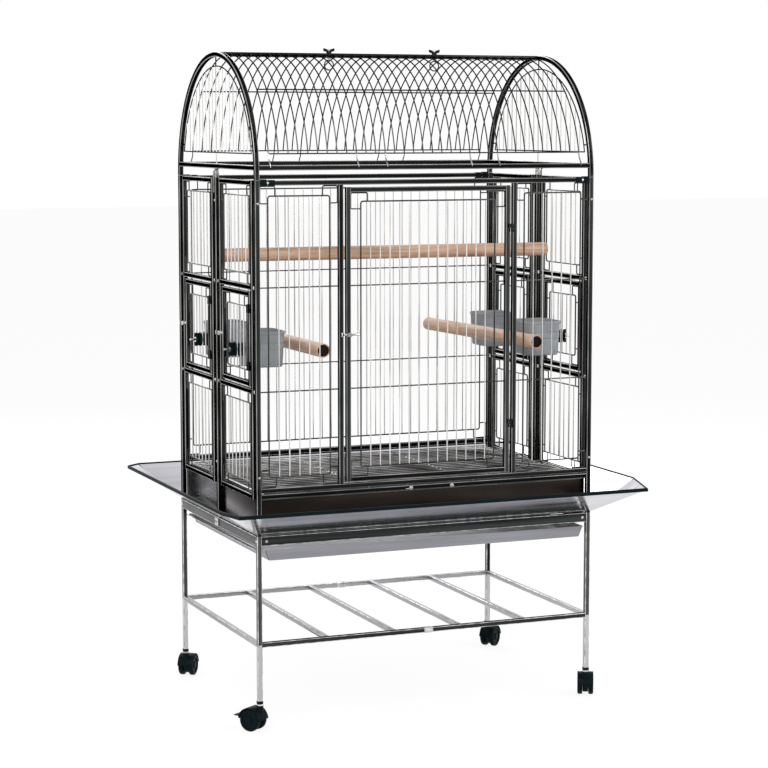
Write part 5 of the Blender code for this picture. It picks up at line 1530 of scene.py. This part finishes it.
class CAGE_OT_hooks(bpy.types.Operator):
    """Builds the toy hooks and their wing nuts"""

    bl_idname = "cage.hooks"
    bl_label = "Toy hooks"

    def execute(self, context):
        for _, name in SIDES:
            self.hook(name)
            self.nut(name)
        return {"FINISHED"}

    def hook(self, name):
        """An eye on a threaded stem, with a nut under the ridge bar."""
        low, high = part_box(f"toy_hook_{name}")
        x = (low.x + high.x) / 2
        eye_r, wire_r = 0.011, 0.0015
        eye_z = low.z + eye_r + wire_r
        nut_z = DOME_Z + DOME_R - RIDGE_HIGH / 2 - 0.0003
        piece = Piece(f"toy_hook_{name}_eye")
        piece.add(rod((x, MID_Y, eye_z + eye_r), (x, MID_Y, high.z), 0.0024, 16, 0.0005), "fitting")
        piece.add(rod((x, MID_Y, nut_z - 0.002), (x, MID_Y, nut_z), 0.005, 24, 0.0005), "fitting")
        eye = bmesh.new()
        bmesh.ops.create_circle(
            eye, cap_ends=False, segments=10, radius=wire_r,
            matrix=Matrix.Translation((x + eye_r, MID_Y, eye_z)),
        )
        spun(eye, eye.edges[:], (x, MID_Y, eye_z), (0, 1, 0), 2 * math.pi, 36, merge=True)
        bmesh.ops.remove_doubles(eye, verts=eye.verts, dist=1e-5)
        bmesh.ops.recalc_face_normals(eye, faces=eye.faces)
        piece.add(eye, "dome_wire")
        piece.done("cage", "polished_steel", f"toy_hook_{name}")

    def nut(self, name):
        """A ring with two wings that lean outwards."""
        low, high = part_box(f"wing_nut_{name}")
        place = Vector(((low.x + high.x) / 2, MID_Y, low.z))
        bore = 0.0028
        profile = [
            (0, bore), (0, 0.0058), (0.001, 0.006), (0.0045, 0.0048), (0.0060, 0.0044),
            (0.0060, bore), (0, bore),
        ]
        nut = Piece(f"wing_nut_{name}_set")
        nut.add(lathed(place, (0, 0, 1), profile, 28), "frame_cross")
        root, lean = 0.0030, 0.30
        for way in (-1, 1):
            wing = block((root, -0.0013, 0.0018), (0.0135, 0.0013, 0.0085), 0.0010, 3)
            for vert in wing.verts:
                vert.co.z += max(0.0, vert.co.x - root) * lean
            turn = Matrix.Translation(place) @ Matrix.Scale(way, 4, (1, 0, 0))
            bmesh.ops.transform(wing, matrix=turn, verts=wing.verts)
            bmesh.ops.recalc_face_normals(wing, faces=wing.faces)
            nut.add(wing, "frame_cross")
        nut.done(f"nut_{name}", "polished_steel", f"wing_nut_{name}")


PERCH_R = 0.0155


class CAGE_OT_perches(bpy.types.Operator):
    """Builds the three wooden perches with the plugs in their ends"""

    bl_idname = "cage.perches"
    bl_label = "Perches"

    def execute(self, context):
        low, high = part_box("perch_long")
        z = (low.z + high.z) / 2
        skew = math.radians(3.05)
        in_x, in_y = PERCH_R * math.sin(skew), PERCH_R * math.cos(skew)
        start, end = Vector((low.x + in_x, high.y - in_y, z)), Vector((high.x - in_x, low.y + in_y, z))
        self.perch("perch_long", start, end, "perch_wood_x", plugs=False)
        low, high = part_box("perch_left")
        x, z = (low.x + high.x) / 2, middle("perch_left").z
        self.perch("perch_left", Vector((x, low.y, z)), Vector((x, high.y, z)), "perch_wood_y")
        low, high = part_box("perch_right")
        skew = math.radians(3.85)
        run = (high.y - low.y) / 2 - PERCH_R * math.sin(skew)
        lean = Vector((-math.tan(skew) * run, run, 0))
        centre = Vector(((low.x + high.x) / 2, (low.y + high.y) / 2, z))
        self.perch("perch_right", centre - lean, centre + lean, "perch_wood_y")
        return {"FINISHED"}

    def perch(self, name, start, end, wood, plugs=True):
        """A turned rod with slightly hollow ends, and dark plugs in them."""
        way = (end - start).normalized()
        long = (end - start).length
        cap, wall, chamfer = 0.0010, 0.0135, 0.0012
        rim = wall + 0.0003
        profile = [
            (cap, 0.0), (cap, wall), (0.0, rim), (0.0, PERCH_R - chamfer), (chamfer, PERCH_R),
            (long / 3, PERCH_R), (2 * long / 3, PERCH_R), (long - chamfer, PERCH_R),
            (long, PERCH_R - chamfer), (long, rim), (long - cap, wall), (long - cap, 0.0),
        ]
        piece = Piece(f"{name}_rod")
        piece.add(lathed(start, way, profile, 36), wood)
        if plugs:
            plug = [
                (-0.0040, 0.0), (-0.0040, 0.0130), (-0.0006, 0.0130), (-0.0003, 0.0118), (-0.0003, 0.0),
            ]
            for place, out in ((start, -way), (end, way)):
                piece.add(lathed(place, out, plug, 30), "perch_end")
        piece.done("cage", "perch_wood", name)


# The camera, solved against the cage: its place from the floor's middle under it, and its turns in degrees
CAMERA_PLACE = (-1.9909, -4.7911, 1.3187)
CAMERA_TILT = 83.395
CAMERA_TURN = -22.614
CAMERA_LENS = 105.2
SENSOR_WIDTH = 36

# Lamps, as name, place, aim, side in metres and power in watts
LAMPS = (
    ("key", (-2.6, -3.2, 3.6), (0, 0, 0.8), 2.4, 95),
    ("fill", (3.4, -2.6, 2.4), (0, 0, 0.8), 2.8, 55),
    ("back", (0.6, 3.6, 3.2), (0, 0, 0.9), 2.6, 60),
)
FLOOR_HALF = 30
WORLD_LIGHT = 0.55


class CAGE_OT_stage(bpy.types.Operator):
    """Builds the floor, the lights, the white world and the camera"""

    bl_idname = "cage.stage"
    bl_label = "Stage"

    def execute(self, context):
        self.floor(context)
        for lamp in LAMPS:
            self.lamp(context, *lamp)
        self.world(context)
        self.camera(context)
        context.scene.view_settings.view_transform = "Standard"
        return {"FINISHED"}

    def floor(self, context):
        """One large flat sheet."""
        bm = bmesh.new()
        bmesh.ops.create_grid(bm, x_segments=1, y_segments=1, size=FLOOR_HALF)
        mesh = bpy.data.meshes.new("floor")
        bm.to_mesh(mesh)
        bm.free()
        floor = bpy.data.objects.new("floor", mesh)
        context.scene.collection.objects.link(floor)
        mesh.materials.append(self.floor_finish())

    def lamp(self, context, name, place, aim, size, power):
        """A square lamp that points at its aim."""
        lamp = bpy.data.lights.new(name, "AREA")
        lamp.shape = "SQUARE"
        lamp.size = size
        lamp.energy = power
        made = bpy.data.objects.new(name, lamp)
        made.location = place
        made.rotation_euler = (Vector(aim) - Vector(place)).to_track_quat("-Z", "Y").to_euler()
        context.scene.collection.objects.link(made)

    def camera(self, context):
        """The camera, which faces the cage from its front left."""
        data = bpy.data.cameras.new("camera")
        data.sensor_width = SENSOR_WIDTH
        data.lens = CAMERA_LENS
        camera = bpy.data.objects.new("camera", data)
        camera.location = Vector(CAMERA_PLACE) + Vector((0, MID_Y, 0))
        camera.rotation_euler = (math.radians(CAMERA_TILT), 0, math.radians(CAMERA_TURN))
        context.scene.collection.objects.link(camera)
        context.scene.camera = camera

    def seen(self, tree):
        """1 for rays that show the background: camera, glossy and transmission rays."""
        path = tree.nodes.new("ShaderNodeLightPath")
        total = None
        for output in ("Is Camera Ray", "Is Glossy Ray", "Is Transmission Ray"):
            if total is None:
                total = path.outputs[output]
                continue
            add = tree.nodes.new("ShaderNodeMath")
            add.operation = "MAXIMUM"
            tree.links.new(total, add.inputs[0])
            tree.links.new(path.outputs[output], add.inputs[1])
            total = add.outputs[0]
        return total

    def floor_finish(self):
        """Light grey that keeps the cage's shadow, with a share of white for rays that see it."""
        made, tree, shader = start_material("stage_floor")
        shader.inputs["Base Color"].default_value = (0.80, 0.80, 0.80, 1)
        shader.inputs["Roughness"].default_value = 0.9
        shader.inputs["Specular IOR Level"].default_value = 0.0
        glow = tree.nodes.new("ShaderNodeEmission")
        glow.inputs["Color"].default_value = (1, 1, 1, 1)
        glow.inputs["Strength"].default_value = 1.1
        both = tree.nodes.new("ShaderNodeMixShader")
        share = tree.nodes.new("ShaderNodeMath")
        share.operation = "MULTIPLY"
        share.inputs[1].default_value = 0.8
        tree.links.new(self.seen(tree), share.inputs[0])
        tree.links.new(share.outputs[0], both.inputs["Fac"])
        tree.links.new(shader.outputs["BSDF"], both.inputs[1])
        tree.links.new(glow.outputs["Emission"], both.inputs[2])
        output = next(n for n in tree.nodes if n.type == "OUTPUT_MATERIAL")
        tree.links.new(both.outputs["Shader"], output.inputs["Surface"])
        return made

    def world(self, context):
        """Soft light on the cage, and plain white for rays that see the background."""
        world = bpy.data.worlds.new("white")
        world.use_nodes = True
        tree = world.node_tree
        plain = tree.nodes["Background"]
        plain.inputs["Color"].default_value = (1, 1, 1, 1)
        plain.inputs["Strength"].default_value = WORLD_LIGHT
        white = tree.nodes.new("ShaderNodeBackground")
        white.inputs["Color"].default_value = (1, 1, 1, 1)
        white.inputs["Strength"].default_value = 1.0
        both = tree.nodes.new("ShaderNodeMixShader")
        tree.links.new(self.seen(tree), both.inputs["Fac"])
        tree.links.new(plain.outputs["Background"], both.inputs[1])
        tree.links.new(white.outputs["Background"], both.inputs[2])
        output = next(n for n in tree.nodes if n.type == "OUTPUT_WORLD")
        tree.links.new(both.outputs["Shader"], output.inputs["Surface"])
        context.scene.world = world


OPERATORS = (
    CAGE_OT_stand, CAGE_OT_casters, CAGE_OT_tray, CAGE_OT_grate, CAGE_OT_apron, CAGE_OT_guard,
    CAGE_OT_front_panel, CAGE_OT_door, CAGE_OT_back_panel, CAGE_OT_sides, CAGE_OT_feeder_doors,
    CAGE_OT_cups, CAGE_OT_dome_ends, CAGE_OT_dome_screen, CAGE_OT_hooks, CAGE_OT_perches,
    CAGE_OT_stage,
)


class CAGE_PT_panel(bpy.types.Panel):
    """Lists the cage's pieces in the sidebar"""

    bl_idname = "CAGE_PT_panel"
    bl_label = "Bird cage"
    bl_space_type = "VIEW_3D"
    bl_region_type = "UI"
    bl_category = "Cage"

    def draw(self, context):
        column = self.layout.column()
        for group in (context.scene.cage_sizes, context.scene.cage_colours):
            for name in group.bl_rna.properties.keys():
                if name not in ("rna_type", "name"):
                    column.prop(group, name)
        for made in OPERATORS:
            column.operator(made.bl_idname)


CLASSES = (CageSizes, CageColours, *OPERATORS, CAGE_PT_panel)


def register():
    for made in CLASSES:
        bpy.utils.register_class(made)
    bpy.types.Scene.cage_sizes = PointerProperty(type=CageSizes)
    bpy.types.Scene.cage_colours = PointerProperty(type=CageColours)


def unregister():
    del bpy.types.Scene.cage_colours
    del bpy.types.Scene.cage_sizes
    for made in reversed(CLASSES):
        bpy.utils.unregister_class(made)


def main():
    """Builds the cage in order."""
    register()
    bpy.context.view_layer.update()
    for made in OPERATORS:
        group, name = made.bl_idname.split(".")
        getattr(getattr(bpy.ops, group), name)()


if __name__ == "__main__":
    main()
